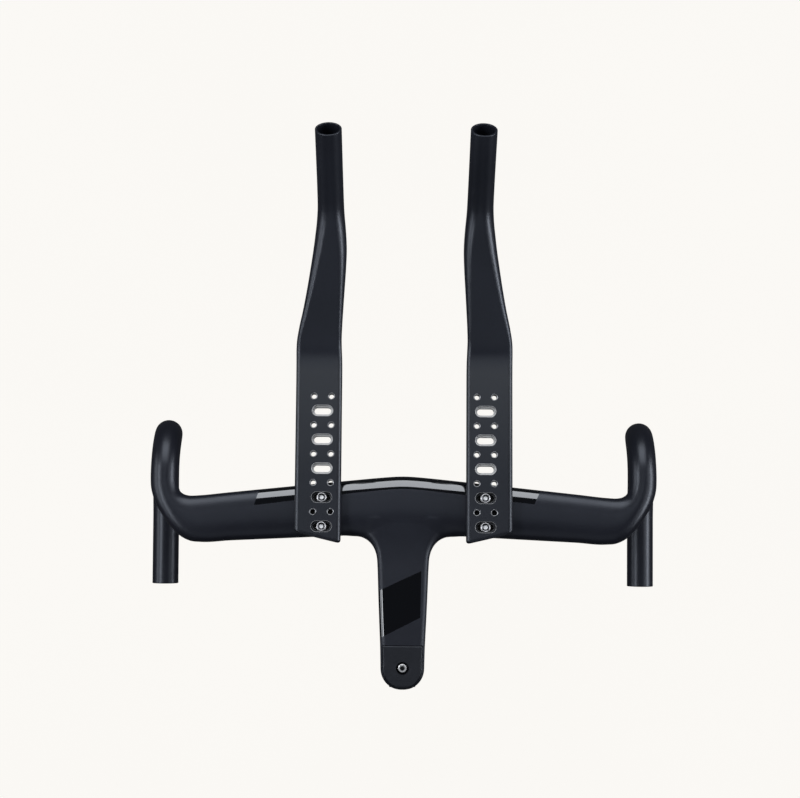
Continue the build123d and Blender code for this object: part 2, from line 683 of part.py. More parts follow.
# ---------------------------------------------------------------------------
# shims: flat on top, shaped to the wing underneath
# ---------------------------------------------------------------------------
with BuildPart() as right_shim:
    with BuildSketch(Plane.XY.offset(48.0)):
        with Locations(((plate_in + plate_out) / 2, 125.4)):
            RectangleRounded(33.0, 39.0, 4.0)
    extrude(amount=plate_top - plate_thick - 48.0)
    add(wing_outer.part, mode=Mode.SUBTRACT)
    with BuildSketch(Plane.XY.offset(40.0)):
        with Locations(*[(hole_x, y) for y in bolt_rows]):
            Circle(bolt_d / 2 + 0.3)
    extrude(amount=40, mode=Mode.SUBTRACT)
right_shim.part.label = "right_shim"
export_step(right_shim.part, "parts/right_shim.step")

with BuildPart() as left_shim:
    mirror(right_shim.part, about=Plane.YZ)
left_shim.part.label = "left_shim"
export_step(left_shim.part, "parts/left_shim.step")

# ---------------------------------------------------------------------------
# bolts, washers and inserts that hold the extensions to the wing
# ---------------------------------------------------------------------------
seat = plate_top - slot_sink_depth

with BuildPart() as right_rear_bolt:
    with BuildSketch(Plane.XY.offset(seat + washer_h)):
        with Locations((hole_x, bolt_rows[0])):
            Circle(bolt_head_d / 2)
    extrude(amount=bolt_head_h)
    fillet(right_rear_bolt.edges().sort_by(Axis.Z)[-1], 0.9)
    with BuildSketch(Plane.XY.offset(seat + washer_h)):
        with Locations((hole_x, bolt_rows[0])):
            Circle(bolt_d / 2)
    extrude(amount=-(seat + washer_h - insert_top(bolt_rows[0]) + bar_insert_len - 1.0))
    with BuildSketch(Plane.XY.offset(seat + washer_h + bolt_head_h)):
        with Locations((hole_x, bolt_rows[0])):
            RegularPolygon(1.5, 6, major_radius=False)
    extrude(amount=-2.0, mode=Mode.SUBTRACT)
right_rear_bolt.part.label = "right_rear_bolt"
export_step(right_rear_bolt.part, "parts/right_rear_bolt.step")

with BuildPart() as right_front_bolt:
    with BuildSketch(Plane.XY.offset(seat + washer_h)):
        with Locations((hole_x, bolt_rows[1])):
            Circle(bolt_head_d / 2)
    extrude(amount=bolt_head_h)
    fillet(right_front_bolt.edges().sort_by(Axis.Z)[-1], 0.9)
    with BuildSketch(Plane.XY.offset(seat + washer_h)):
        with Locations((hole_x, bolt_rows[1])):
            Circle(bolt_d / 2)
    extrude(amount=-(seat + washer_h - insert_top(bolt_rows[1]) + bar_insert_len - 1.0))
    with BuildSketch(Plane.XY.offset(seat + washer_h + bolt_head_h)):
        with Locations((hole_x, bolt_rows[1])):
            RegularPolygon(1.5, 6, major_radius=False)
    extrude(amount=-2.0, mode=Mode.SUBTRACT)
right_front_bolt.part.label = "right_front_bolt"
export_step(right_front_bolt.part, "parts/right_front_bolt.step")

with BuildPart() as left_rear_bolt:
    mirror(right_rear_bolt.part, about=Plane.YZ)
left_rear_bolt.part.label = "left_rear_bolt"
export_step(left_rear_bolt.part, "parts/left_rear_bolt.step")

with BuildPart() as left_front_bolt:
    mirror(right_front_bolt.part, about=Plane.YZ)
left_front_bolt.part.label = "left_front_bolt"
export_step(left_front_bolt.part, "parts/left_front_bolt.step")

for name, x, y in (("right_rear", hole_x, bolt_rows[0]), ("right_front", hole_x, bolt_rows[1]),
                   ("left_rear", -hole_x, bolt_rows[0]), ("left_front", -hole_x, bolt_rows[1])):
    with BuildPart() as washer:
        with BuildSketch(Plane.XY.offset(seat)):
            with Locations((x, y)):
                Circle(washer_d / 2)
                Circle(bolt_d / 2 + 0.1, mode=Mode.SUBTRACT)
        extrude(amount=washer_h)
    washer.part.label = name + "_washer"
    export_step(washer.part, "parts/" + name + "_washer.step")
    with BuildPart() as insert:
        with BuildSketch(Plane.XY.offset(insert_top(y) - bar_insert_len)):
            with Locations((x, y)):
                Circle(bar_insert_d / 2 - 0.02)
                Circle(bolt_d / 2 + 0.02, mode=Mode.SUBTRACT)
        extrude(amount=bar_insert_len)
    insert.part.label = name + "_insert"
    export_step(insert.part, "parts/" + name + "_insert.step")
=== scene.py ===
import bpy
import json
import math
import numpy as np
from mathutils import Matrix, Vector
from mathutils.bvhtree import BVHTree


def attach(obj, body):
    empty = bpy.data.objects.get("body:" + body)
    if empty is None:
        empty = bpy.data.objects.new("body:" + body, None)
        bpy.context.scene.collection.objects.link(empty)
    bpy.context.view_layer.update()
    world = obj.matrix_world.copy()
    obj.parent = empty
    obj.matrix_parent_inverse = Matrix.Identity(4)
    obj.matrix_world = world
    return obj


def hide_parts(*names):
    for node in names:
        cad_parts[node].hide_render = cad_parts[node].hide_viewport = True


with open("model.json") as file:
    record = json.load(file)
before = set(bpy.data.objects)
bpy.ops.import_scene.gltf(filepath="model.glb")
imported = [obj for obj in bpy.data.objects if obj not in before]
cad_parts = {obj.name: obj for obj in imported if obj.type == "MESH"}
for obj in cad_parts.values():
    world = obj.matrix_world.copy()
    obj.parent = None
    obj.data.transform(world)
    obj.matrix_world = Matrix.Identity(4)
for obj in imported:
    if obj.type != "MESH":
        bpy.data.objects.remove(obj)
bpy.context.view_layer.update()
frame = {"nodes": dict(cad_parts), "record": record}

scene = bpy.context.scene
MM = 0.001

# ---------------------------------------------------------------------------
# camera: nearly plan view, 7.5 degrees off the vertical
# ---------------------------------------------------------------------------
E, rho = math.radians(82.5), math.radians(0.40)
aim = Vector((0, math.cos(E), -math.sin(E)))
up = Vector((0, math.sin(E), math.cos(E)))
right = Vector((1, 0, 0)) * math.cos(rho) + up * math.sin(rho)
top = Vector((-1, 0, 0)) * math.sin(rho) + up * math.cos(rho)
cam_data = bpy.data.cameras.new("camera")
cam_data.sensor_fit = "HORIZONTAL"
cam_data.sensor_width = 36.0
cam_data.lens = 36.0 * 1850.0 / 800.0
cam_data.clip_start, cam_data.clip_end = 0.05, 30.0
cam_data.dof.use_dof = False
camera = bpy.data.objects.new("camera", cam_data)
m = Matrix((right, top, -aim)).transposed().to_4x4()
m.translation = Vector((-3.66, 13.4, 1651.4)) * MM
camera.matrix_world = m
scene.collection.objects.link(camera)
scene.camera = camera
scene.view_settings.view_transform = "Standard"

# ---------------------------------------------------------------------------
# dimensions, in millimetres, the same as the solids'
# ---------------------------------------------------------------------------
wing_z = 43.6
tube_r, tube_inner_r = 12.0, 9.8
ramp_x, ramp_y, hook_r1, hook_r2 = 208.45, 156.4, 41.2, 78.0
hook_rake, drop_pitch = math.radians(6.2), math.radians(5.0)
drop_x, drop_c_c, drop_end_y = 221.0, 118.5, 67.0
lean, slope = math.radians(12.0), math.radians(6.0)
up_axis = np.array((0.0, -math.sin(lean), math.cos(lean)))
back_axis = np.array((0.0, -math.cos(lean), -math.sin(lean)))
rear_y = -42.0 * math.sin(lean)
roll_y, roll_r = -17.7, 14.0
hole_x = 70.5
bolt_rows = (111.8, 136.8)
RING = 80
PIECES = []


def place(o, slot, *nodes):
    """Rides the piece on the part, gives it its finish and puts it in the place of its nodes."""
    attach(o, "root")
    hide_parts(*nodes)
    PIECES.append((o.name, slot))


def smooth01(t):
    t = np.clip(t, 0.0, 1.0)
    return t * t * (3 - 2 * t)


def wing_front(x):
    return 158.0 - np.hypot(1.2, 0.105 * np.asarray(x))


def wing_rear(x):
    return 107.6 - 0.0485 * np.sqrt(x * x + 4.0)


def wing_half(x):
    return 12.2 - 1.4 * smooth01((np.abs(x) - 10) / 100)


def stem_top(y):
    return 56.0 - (130.0 - y) * math.tan(slope)


# half width and underside of the stem, smoothed between their stations
ys = np.arange(-60.0, 160.0, 0.5)
hw_rows = [(-60, 18.9), (-8.73, 18.9), (7, 19.25), (16, 19.6), (33, 20.4), (50, 21.1), (76, 22.0), (85, 22.5), (97, 23.9), (104, 24.6), (160, 24.9)]
low_rows = [(-60, -12.75), (0, 0.0), (16, 3.4), (24, 5.2), (32, 8.7), (40, 13.4), (50, 19.0), (60, 23.2), (72, 26.7), (84, 29.2), (96, 31.1), (108, 32.6), (122, 33.4), (160, 33.8)]
kernel = np.exp(-0.5 * (np.arange(-16, 17) * 0.5 / 3.0) ** 2)
kernel /= kernel.sum()


def eased(rows):
    raw = np.interp(ys, [r[0] for r in rows], [r[1] for r in rows])
    return np.convolve(np.pad(raw, 16, mode="edge"), kernel, mode="valid")


hw_table, low_table = eased(hw_rows), eased(low_rows)


def smooth_min(a, b, k):
    h = np.maximum(k - np.abs(a - b), 0.0)
    return np.minimum(a, b) - h * h / (4.0 * k)


def round_max(a, b, r):
    u, v = np.maximum(a + r, 0.0), np.maximum(b + r, 0.0)
    return np.minimum(-r, np.maximum(a, b)) + np.sqrt(u * u + v * v)


def field(P):
    """Distance, near the skin, of the middle of the bar: wing, stem and the flare between them."""
    x, y, z = P[..., 0], P[..., 1], P[..., 2]
    ax = np.sqrt(x * x + 0.01)
    # wing
    f, r, h = wing_front(x), wing_rear(x), wing_half(x)
    a, mid, n = (f - r) / 2, (f + r) / 2, 2.7
    u, w = np.abs((y - mid) / a) + 1e-9, np.abs((z - wing_z) / h) + 1e-9
    g = (u ** n + w ** n) ** (1 / n)
    grad = g ** (1 - n) * np.sqrt((u ** (n - 1) / a) ** 2 + (w ** (n - 1) / h) ** 2)
    wing = (g - 1) / grad
    # stem, seen from above: its sides, the round rear end and the flare into the trailing edge
    side = np.where(y > rear_y, ax - np.interp(y, ys, hw_table), np.sqrt(x * x + (y - rear_y) ** 2) - 18.9)
    plan = smooth_min(r - y, side, 22.4) + 5.0 * smooth01((ax - 43) / 18)
    s = smooth01((ax - 20.5) / 32)
    high = (z - (stem_top(y) * (1 - s) + (wing_z + 5.0) * s)) * math.cos(slope)
    # the top rolls down to the rear
    behind = -((y - roll_y) * math.cos(slope) + (z - stem_top(roll_y)) * math.sin(slope)) - roll_r
    high = round_max(high, behind, roll_r)
    low = ((np.interp(y, ys, low_table) * (1 - s) + (wing_z - 5.0) * s) - z) * 0.95
    body = round_max(round_max(plan, high, 5.0), low, 3.0)
    body = round_max(body, y - 121.0, 2.0)
    k = 2.6 - 2.2 * smooth01((z - 47.0) / 5.0) * (1 - smooth01((ax - 15) / 15))
    return smooth_min(wing, body, k)


def gradient(P, e=0.04):
    out = np.empty_like(P)
    for k in range(3):
        d = np.zeros(3)
        d[k] = e
        out[:, k] = (field(P + d) - field(P - d)) / (2 * e)
    return out


def onto_skin(P, times):
    for _ in range(times):
        g = gradient(P)
        P = P - g * (field(P) / np.maximum((g * g).sum(1), 0.05))[:, None]
    return P


def skin_of_middle():
    """Quads on the zero level of the field, open at both ends of x."""
    step = 1.6
    gx = np.arange(-44, 45) * step
    gy = np.arange(-20, 102) * step
    gz = np.arange(-9, 40) * step
    G = np.stack(np.meshgrid(gx, gy, gz, indexing="ij"), -1)
    F = field(G)
    nx, ny, nz = F.shape
    total = np.zeros((nx - 1, ny - 1, nz - 1, 3))
    count = np.zeros((nx - 1, ny - 1, nz - 1))

    def corner(i, j, k):
        return (slice(i, nx - 1 + i), slice(j, ny - 1 + j), slice(k, nz - 1 + k))

    for axis in range(3):
        for p in (0, 1):
            for q in (0, 1):
                c0 = [p, q]
                c0.insert(axis, 0)
                c1 = list(c0)
                c1[axis] = 1
                f0, f1 = F[corner(*c0)], F[corner(*c1)]
                cross = (f0 < 0) != (f1 < 0)
                t = np.where(cross, f0 / np.where(cross, f0 - f1, 1.0), 0.0)
                pos = G[corner(*c0)] * (1 - t[..., None]) + G[corner(*c1)] * t[..., None]
                total += pos * cross[..., None]
                count += cross
    active = count > 0
    index = np.full(active.shape, -1)
    index[active] = np.arange(active.sum())
    V = total[active] / count[active][:, None]
    quads = []
    inside = F < 0
    for axis in range(3):
        o1, o2 = [(1, 2), (2, 0), (0, 1)][axis]
        a = [slice(1, -1)] * 3
        a[axis] = slice(0, -1)
        b = [slice(1, -1)] * 3
        b[axis] = slice(1, None)
        ia, ib = inside[tuple(a)], inside[tuple(b)]
        cells = np.argwhere(ia != ib)
        starts = ia[tuple(cells.T)]
        base = cells.copy()
        for ax in range(3):
            if ax != axis:
                base[:, ax] += 1
        ring = []
        for d1, d2 in ((-1, -1), (0, -1), (0, 0), (-1, 0)):
            c = base.copy()
            c[:, o1] += d1
            c[:, o2] += d2
            ring.append(index[tuple(c.T)])
        ring = np.stack(ring, 1)
        ring[~starts] = ring[~starts][:, ::-1]
        quads.append(ring)
    Q = np.concatenate(quads)
    V = onto_skin(V, 3)
    # even out the quads along the skin, with the open ends held
    edges = np.concatenate([Q[:, [0, 1]], Q[:, [1, 2]], Q[:, [2, 3]], Q[:, [3, 0]]])
    edges = np.sort(edges, 1)
    edges, uses = np.unique(edges, axis=0, return_counts=True)
    rim = np.unique(edges[uses == 1])
    held = np.zeros(len(V), bool)
    held[rim] = True
    for _ in range(12):
        acc, num = np.zeros_like(V), np.zeros(len(V))
        for p, q in ((0, 1), (1, 0)):
            np.add.at(acc, edges[:, p], V[edges[:, q]])
            np.add.at(num, edges[:, p], 1)
        move = acc / np.maximum(num, 1)[:, None] - V
        g = gradient(V)
        g /= np.linalg.norm(g, axis=1)[:, None]
        move -= g * (move * g).sum(1)[:, None]
        move[held] = 0
        V = onto_skin(V + 0.6 * move, 1)
    V = onto_skin(V, 2)
    g = gradient(V)
    return V, Q, g / np.linalg.norm(g, axis=1)[:, None], rim


def oval(a, b, n, count=RING):
    """Superellipse points at even distances, from the +a end."""
    t = np.linspace(0, 2 * math.pi, 1441)
    c, s = np.cos(t), np.sin(t)
    x = a * np.sign(c) * np.abs(c) ** (2 / n)
    y = b * np.sign(s) * np.abs(s) ** (2 / n)
    run = np.r_[0, np.cumsum(np.hypot(np.diff(x), np.diff(y)))]
    at = np.linspace(0, run[-1], count, endpoint=False)
    return np.interp(at, run, x), np.interp(at, run, y)


def grid_normals(R):
    """Normals of a tube of rings (k, ring, 3), outward for rings that run anticlockwise along the tube."""
    around = np.roll(R, -1, 1) - np.roll(R, 1, 1)
    along = np.gradient(R, axis=0)
    n = np.cross(around, along)
    length = np.linalg.norm(n, axis=2, keepdims=True)
    return n / np.maximum(length, 1e-9)


def curve_through(rows, step):
    """Smooth curves through rows of numbers; the first two are the position that sets the pace."""
    rows = [np.asarray(r, float) for r in rows]
    out = []
    for k in range(1, len(rows) - 2):
        p0, p1, p2, p3 = rows[k - 1:k + 3]
        s0, s1, s2 = (max(np.linalg.norm((b - a)[:2]), 1e-6) for a, b in ((p0, p1), (p1, p2), (p2, p3)))
        m1 = ((p1 - p0) / s0 * s1 + (p2 - p1) / s1 * s0) / (s0 + s1) * s1
        m2 = ((p2 - p1) / s1 * s2 + (p3 - p2) / s2 * s1) / (s1 + s2) * s1
        parts = max(1, round(s1 / step))
        for j in range(parts):
            t = j / parts
            out.append((2 * t ** 3 - 3 * t ** 2 + 1) * p1 + (t ** 3 - 2 * t ** 2 + t) * m1
                       + (3 * t ** 2 - 2 * t ** 3) * p2 + (t ** 3 - t ** 2) * m2)
    out.append(rows[-2])
    return out


corner_rows = (
    ((177.2, 98.9), (178.6, 139.2), 10.9, 2.65), ((184.4, 99.6), (184.6, 138.9), 11.1, 2.6),
    ((192.2, 103.0), (189.0, 139.5), 11.4, 2.5), ((200.6, 110.4), (192.4, 141.0), 11.7, 2.35),
    ((209.2, 121.7), (194.8, 143.4), 11.9, 2.2), ((216.4, 134.2), (195.9, 147.6), 12.0, 2.05),
    ((219.8, 145.6), (196.3, 152.0), 12.0, 2.0), ((ramp_x + 12, ramp_y), (ramp_x - 12, ramp_y), 12.0, 2.0),
    ((ramp_x + 12, ramp_y + 8), (ramp_x - 12, ramp_y + 8), 12.0, 2.0),
)


def hook_line():
    """Centre line after the ramp, round the hook, along the drop to its open end."""
    pts = []
    for a in np.linspace(math.pi / 2, -hook_rake, 35)[1:]:
        pts.append((ramp_y + hook_r1 * math.cos(a), wing_z - hook_r1 + hook_r1 * math.sin(a)))
    y1, z1 = pts[-1]
    to = (-math.cos(hook_rake) * hook_r2, math.sin(hook_rake) * hook_r2)
    run = (z1 + to[1] - hook_r2 * math.cos(drop_pitch) - (wing_z - drop_c_c)) / math.cos(hook_rake)
    y2, z2 = y1 - math.sin(hook_rake) * run, z1 - math.cos(hook_rake) * run
    cy, cz = y2 + to[0], z2 + to[1]
    a0 = math.atan2(z2 - cz, y2 - cy)
    for a in np.linspace(a0, a0 - (math.pi / 2 - hook_rake - drop_pitch), 52):
        pts.append((cy + hook_r2 * math.cos(a), cz + hook_r2 * math.sin(a)))
    bend_end = len(pts) - 1
    y3, z3 = pts[-1]
    for f in np.linspace(0, 1, 22)[1:]:
        y = y3 + (drop_end_y - y3) * f
        pts.append((y, z3 - (y3 - y) * math.tan(drop_pitch)))
    P = []
    for y, z in pts:
        t = min(max((wing_z - z) / drop_c_c, 0.0), 1.0)
        P.append((ramp_x + (drop_x - ramp_x) * float(smooth01(t ** 1.3)), y, z))
    return np.array(P), bend_end


def open_end(ring, centre, way, r_out, r_in, inner):
    """Rings that turn a tube's outside over its end and carry on inside it. inner lists (centre, side, rise)."""
    rings, e = [], 0.5
    for k in range(1, 6):
        p = math.pi / 2 * k / 5
        rings.append(ring(centre - way * (e - e * math.sin(p)), r_out - e + e * math.cos(p)))
    for k in range(0, 5):
        p = math.pi / 2 * k / 4
        rings.append(ring(centre - way * (0.4 - 0.4 * math.cos(p)), r_in + 0.4 - 0.4 * math.sin(p)))
    return rings + inner


def side_of_bar():
    """Rings of the right side from x = 71.5 to the open end of the drop, and on inside it."""
    rows = []
    for x in (60.0, 71.5, 95.0, 120.0, 150.0):
        rows.append((x, wing_rear(x), x, wing_front(x), wing_half(x), 2.7))
    for o, i, h, n in corner_rows:
        rows.append((*o, *i, h, n))
    paced = [((r[0] + r[2]) / 2, (r[1] + r[3]) / 2, *r) for r in rows]
    rings = []
    for r in curve_through(paced, 2.0):
        o, i, h, n = r[2:4], r[4:6], r[6], r[7]
        c, u = (o + i) / 2, (i - o)
        a = np.linalg.norm(u) / 2
        u = u / np.linalg.norm(u)
        px, py = oval(a, h, n)
        ring = np.zeros((RING, 3))
        ring[:, :2] = c + px[:, None] * u
        ring[:, 2] = wing_z + py
        rings.append(ring)
    P, bend_end = hook_line()
    way = np.array((0.0, -math.cos(drop_pitch), -math.sin(drop_pitch)))
    T = np.gradient(np.vstack([[ramp_x, ramp_y, wing_z], P]), axis=0)[1:]
    T /= np.linalg.norm(T, axis=1)[:, None]
    T[bend_end:] = way
    cx, cy = oval(1.0, 1.0, 2.0)

    def frame_at(t):
        s = np.array((-1.0, 0.0, 0.0))
        s = s - t * s.dot(t)
        s /= np.linalg.norm(s)
        return s, np.cross(t, s)

    def circle(c, t, r):
        s, v = frame_at(t)
        return c + r * (cx[:, None] * s + cy[:, None] * v)

    ends = len(P) - 1
    for k in range(ends):
        rings.append(circle(P[k], T[k], tube_r))
    rings.append(circle(P[-1] - way * 0.5, way, tube_r))
    inner = [circle(P[k], T[k], tube_inner_r) for k in range(ends - 1, bend_end - 24, -1)]
    rings += open_end(lambda c, r: circle(c, way, r), P[-1], way, tube_r, tube_inner_r, inner)
    return np.array(rings)


def zipper(A, angA, B, angB):
    """Triangles between two rings, each a list of indices with rising angles; outward as in the tube."""
    a, b = np.argsort(angA), np.argsort(angB)
    A, angA, B, angB = np.array(A)[a], np.array(angA)[a], np.array(B)[b], np.array(angB)[b]
    tris, i, j = [], 0, 0
    na, nb = len(A), len(B)
    while i < na or j < nb:
        ta = angA[(i + 1) % na] + (2 * math.pi if i + 1 >= na else 0) if i < na else 1e9
        tb = angB[(j + 1) % nb] + (2 * math.pi if j + 1 >= nb else 0) if j < nb else 1e9
        if ta <= tb:
            tris.append((A[i % na], A[(i + 1) % na], B[j % nb]))
            i += 1
        else:
            tris.append((A[i % na], B[(j + 1) % nb], B[j % nb]))
            j += 1
    return tris


def tube_faces(start, rings, ring):
    k, j = np.meshgrid(np.arange(rings - 1), np.arange(ring), indexing="ij")
    k, j = k.ravel(), j.ravel()
    n = (j + 1) % ring
    return start + np.stack([k * ring + j, k * ring + n, (k + 1) * ring + n, (k + 1) * ring + j], 1)


def make_mesh(name, V, faces):
    mesh = bpy.data.meshes.new(name)
    mesh.from_pydata((np.asarray(V) * MM).tolist(), [], [list(map(int, f)) for f in faces])
    mesh.validate()
    mesh.polygons.foreach_set("use_smooth", [True] * len(mesh.polygons))
    mesh.update()
    o = bpy.data.objects.new(name, mesh)
    scene.collection.objects.link(o)
    return o


def lathe(name, origin, axis, profile, count=72):
    """Closed turned solid: profile is (radius, height) from its lowest to its highest point."""
    axis = np.asarray(axis, float) / np.linalg.norm(axis)
    s = np.cross((0, 1, 0) if abs(axis[1]) < 0.9 else (1, 0, 0), axis)
    s /= np.linalg.norm(s)
    t = np.cross(axis, s)
    ang = np.arange(count) * 2 * math.pi / count
    V, faces = [], []
    for r, h in profile:
        V.append(np.asarray(origin) + axis * h + r * (np.cos(ang)[:, None] * s + np.sin(ang)[:, None] * t))
    faces += tube_faces(0, len(profile), count).tolist()
    faces.append(list(range(count))[::-1])
    faces.append([(len(profile) - 1) * count + k for k in range(count)])
    return make_mesh(name, np.vstack(V), faces)


def prism(name, outline, low, high):
    """Closed prism: outline is (n, 3) points anticlockwise seen from the high side, low and high are offsets."""
    n = len(outline)
    V = np.vstack([outline + low, outline + high])
    faces = [list(range(n))[::-1], [n + k for k in range(n)]]
    faces += [[k, (k + 1) % n, n + (k + 1) % n, n + k] for k in range(n)]
    return make_mesh(name, V, faces)


def stack(name, levels):
    """Closed solid through outlines with the same number of points, lowest first, anticlockwise from above."""
    n = len(levels[0])
    faces = tube_faces(0, len(levels), n).tolist()
    faces += [list(range(n))[::-1], [(len(levels) - 1) * n + k for k in range(n)]]
    return make_mesh(name, np.vstack(levels), faces)


def turned_ring(name, origin, loop, count=48):
    """Closed turned ring about +Z: loop is (radius, height), up the outside and down the inside."""
    ang = np.arange(count) * 2 * math.pi / count
    V = [np.stack([origin[0] + r * np.cos(ang), origin[1] + r * np.sin(ang), np.full(count, origin[2] + h)], 1) for r, h in loop]
    faces = tube_faces(0, len(loop), count).tolist()
    last = (len(loop) - 1) * count
    faces += [[last + k, last + (k + 1) % count, (k + 1) % count, k] for k in range(count)]
    return make_mesh(name, np.vstack(V), faces)


def crisp(o, degrees=32):
    o.data.set_sharp_from_angle(angle=math.radians(degrees))
    return o


def join(objects, name):
    V, faces, at = [], [], 0
    for o in objects:
        co = np.zeros(len(o.data.vertices) * 3)
        o.data.vertices.foreach_get("co", co)
        V.append(co.reshape(-1, 3) / MM)
        faces += [[at + v for v in p.vertices] for p in o.data.polygons]
        at += len(o.data.vertices)
        bpy.data.objects.remove(o)
    return make_mesh(name, np.vstack(V), faces)


def cut(target, cutters):
    for c in cutters:
        mod = target.modifiers.new("cut", "BOOLEAN")
        mod.operation, mod.solver, mod.object = "DIFFERENCE", "EXACT", c
        bpy.context.view_layer.update()
        out = bpy.data.meshes.new_from_object(target.evaluated_get(bpy.context.evaluated_depsgraph_get()))
        target.modifiers.clear()
        old, target.data = target.data, out
        out.name = target.name
        bpy.data.meshes.remove(old)
        bpy.data.objects.remove(c)


def dress_normals(o, V, N, faces):
    """Gives o's untouched skin the exact normals N of the surface V it was cut from; cut faces keep crisp edges."""
    V = np.asarray(V)
    tris, owner = [], []
    for f in faces:
        for k in range(1, len(f) - 1):
            tris.append((int(f[0]), int(f[k]), int(f[k + 1])))
    tris = np.array(tris)
    tree = BVHTree.FromPolygons((V * MM).tolist(), tris.tolist())
    mesh = o.data
    co = np.zeros(len(mesh.vertices) * 3)
    mesh.vertices.foreach_get("co", co)
    co = co.reshape(-1, 3)
    vn = np.zeros_like(co)
    near = np.full(len(co), 1e9)
    for k, p in enumerate(co):
        hit, _, t, d = tree.find_nearest(Vector(p))
        if hit is None:
            continue
        near[k] = d
        a, b, c = tris[t]
        A, B, C = V[a] * MM, V[b] * MM, V[c] * MM
        e0, e1, e2 = B - A, C - A, np.array(hit) - A
        d00, d01, d11, d20, d21 = e0 @ e0, e0 @ e1, e1 @ e1, e2 @ e0, e2 @ e1
        den = d00 * d11 - d01 * d01
        if abs(den) < 1e-24:
            n = N[a]
        else:
            v = min(max((d11 * d20 - d01 * d21) / den, 0), 1)
            w = min(max((d00 * d21 - d01 * d20) / den, 0), 1)
            n = N[a] * max(1 - v - w, 0) + N[b] * v + N[c] * w
        vn[k] = n / max(np.linalg.norm(n), 1e-9)
    smooth = [v.normal.copy() for v in mesh.vertices]
    face_n = [p.normal.copy() for p in mesh.polygons]
    # normals of cut faces: mean of the neighbours that lie within 30 degrees
    around = {}
    on_skin = []
    for p in mesh.polygons:
        skin = all(near[v] < 4e-5 for v in p.vertices)
        if skin:
            mean = vn[list(p.vertices)].mean(0)
            skin = float(mean @ np.array(p.normal)) > 0.9
        on_skin.append(skin)
        if not skin:
            for v in p.vertices:
                around.setdefault(v, []).append(p.index)
    loops = [None] * len(mesh.loops)
    for p in mesh.polygons:
        for li, v in zip(p.loop_indices, p.vertices):
            if on_skin[p.index]:
                loops[li] = tuple(vn[v])
            else:
                n = Vector((0, 0, 0))
                for q in around[v]:
                    if face_n[q].dot(face_n[p.index]) > 0.86:
                        n += face_n[q] * mesh.polygons[q].area
                loops[li] = tuple(n.normalized()) if n.length > 0 else tuple(face_n[p.index])
    mesh.normals_split_custom_set(loops)
    mesh.update()


# ---------------------------------------------------------------------------
# bar_stem: the one-piece moulding
# ---------------------------------------------------------------------------
mid_v, mid_q, mid_n, rim = skin_of_middle()
rings = side_of_bar()
ring_n = grid_normals(rings)
nr = len(rings)
side_v = rings.reshape(-1, 3)
side_n = ring_n.reshape(-1, 3)
flip = np.array((-1.0, 1.0, 1.0))
V = np.vstack([mid_v, side_v, side_v * flip])
N = np.vstack([mid_n, side_n, side_n * flip])
at_r, at_l = len(mid_v), len(mid_v) + len(side_v)
faces = mid_q.tolist()
faces += tube_faces(at_r, nr, RING).tolist()
faces += tube_faces(at_l, nr, RING)[:, ::-1].tolist()
faces.append([at_r + (nr - 1) * RING + k for k in range(RING)])
faces.append([at_l + (nr - 1) * RING + k for k in range(RING)][::-1])
for sign, start in ((1, at_r), (-1, at_l)):
    edge = [int(k) for k in rim if mid_v[k, 0] * sign > 0]
    x0 = 70.0
    mid_y = float(wing_front(x0) + wing_rear(x0)) / 2
    angle = lambda idx: np.mod(np.arctan2((V[idx, 2] - wing_z) / 11.0, (V[idx, 1] - mid_y) / 23.0), 2 * math.pi)
    ring0 = [start + k for k in range(RING)]
    tris = zipper(edge, angle(edge), ring0, angle(ring0))
    faces += [t if sign > 0 else t[::-1] for t in tris]
bar = make_mesh("bar_stem_skin", V, faces)

# what is cut into it: bore with its relief, seat of the cap, slit, pinch bolts, pockets of the inserts
cutters = [lathe("c_bore", (0, 0, 0), up_axis, [(14.3, -12), (14.3, 26), (15.2, 26), (15.2, 60)], 96)]
cs, sn = math.cos(slope), math.sin(slope)


def cap_outline(margin, front, dy=0.0):
    pts = []
    r = 18.9 - margin
    for y in np.linspace(front, rear_y + r * math.sin(math.radians(4)), 14):
        pts.append((-(float(np.interp(y, ys, hw_table)) - margin), y))
    for a in np.linspace(math.radians(184), math.radians(356), 60)[1:-1]:
        pts.append((r * math.cos(a), rear_y + r * math.sin(a)))
    pts += [(-x, y) for x, y in pts[13::-1]]
    P = np.array(pts)
    return np.stack([P[:, 0], P[:, 1] * cs, stem_top(0) + P[:, 1] * sn], 1)


normal = np.array((0, -sn, cs))
cutters.append(prism("c_cap", cap_outline(1.75, 10.95), normal * -3.2, normal * 9.0))
slit = np.array(((-0.8, -9, 0), (-0.8, -34, 0), (0.8, -34, 0), (0.8, -9, 0)), float)
cutters.append(prism("c_slit", slit, up_axis * -14.0, up_axis * 30.0))
for k, (height, seat) in enumerate(((9.0, 10.2), (23.0, 7.4))):
    c = up_axis * height + back_axis * 17.3
    way = np.array((1.0 if k == 0 else -1.0, 0, 0))
    cutters.append(lathe(f"c_pinch{k}", c, way, [(3.4, -36), (3.4, -seat), (2.15, -seat), (2.15, seat), (3.8, seat), (3.8, 36)], 48))
pockets = []
for x in (-hole_x, hole_x):
    for y, t in ((bolt_rows[0], 50.9), (bolt_rows[1], 53.3)):
        pockets.append(lathe("c_pocket", (x, y, 0), (0, 0, 1), [(4.0, t - 9.0), (4.0, t + 8.0)], 48))
cutters.append(join(pockets, "c_pockets"))
cut(bar, cutters)
dress_normals(bar, V, N, faces)
place(bar, "carbon_bar", "bar_stem")

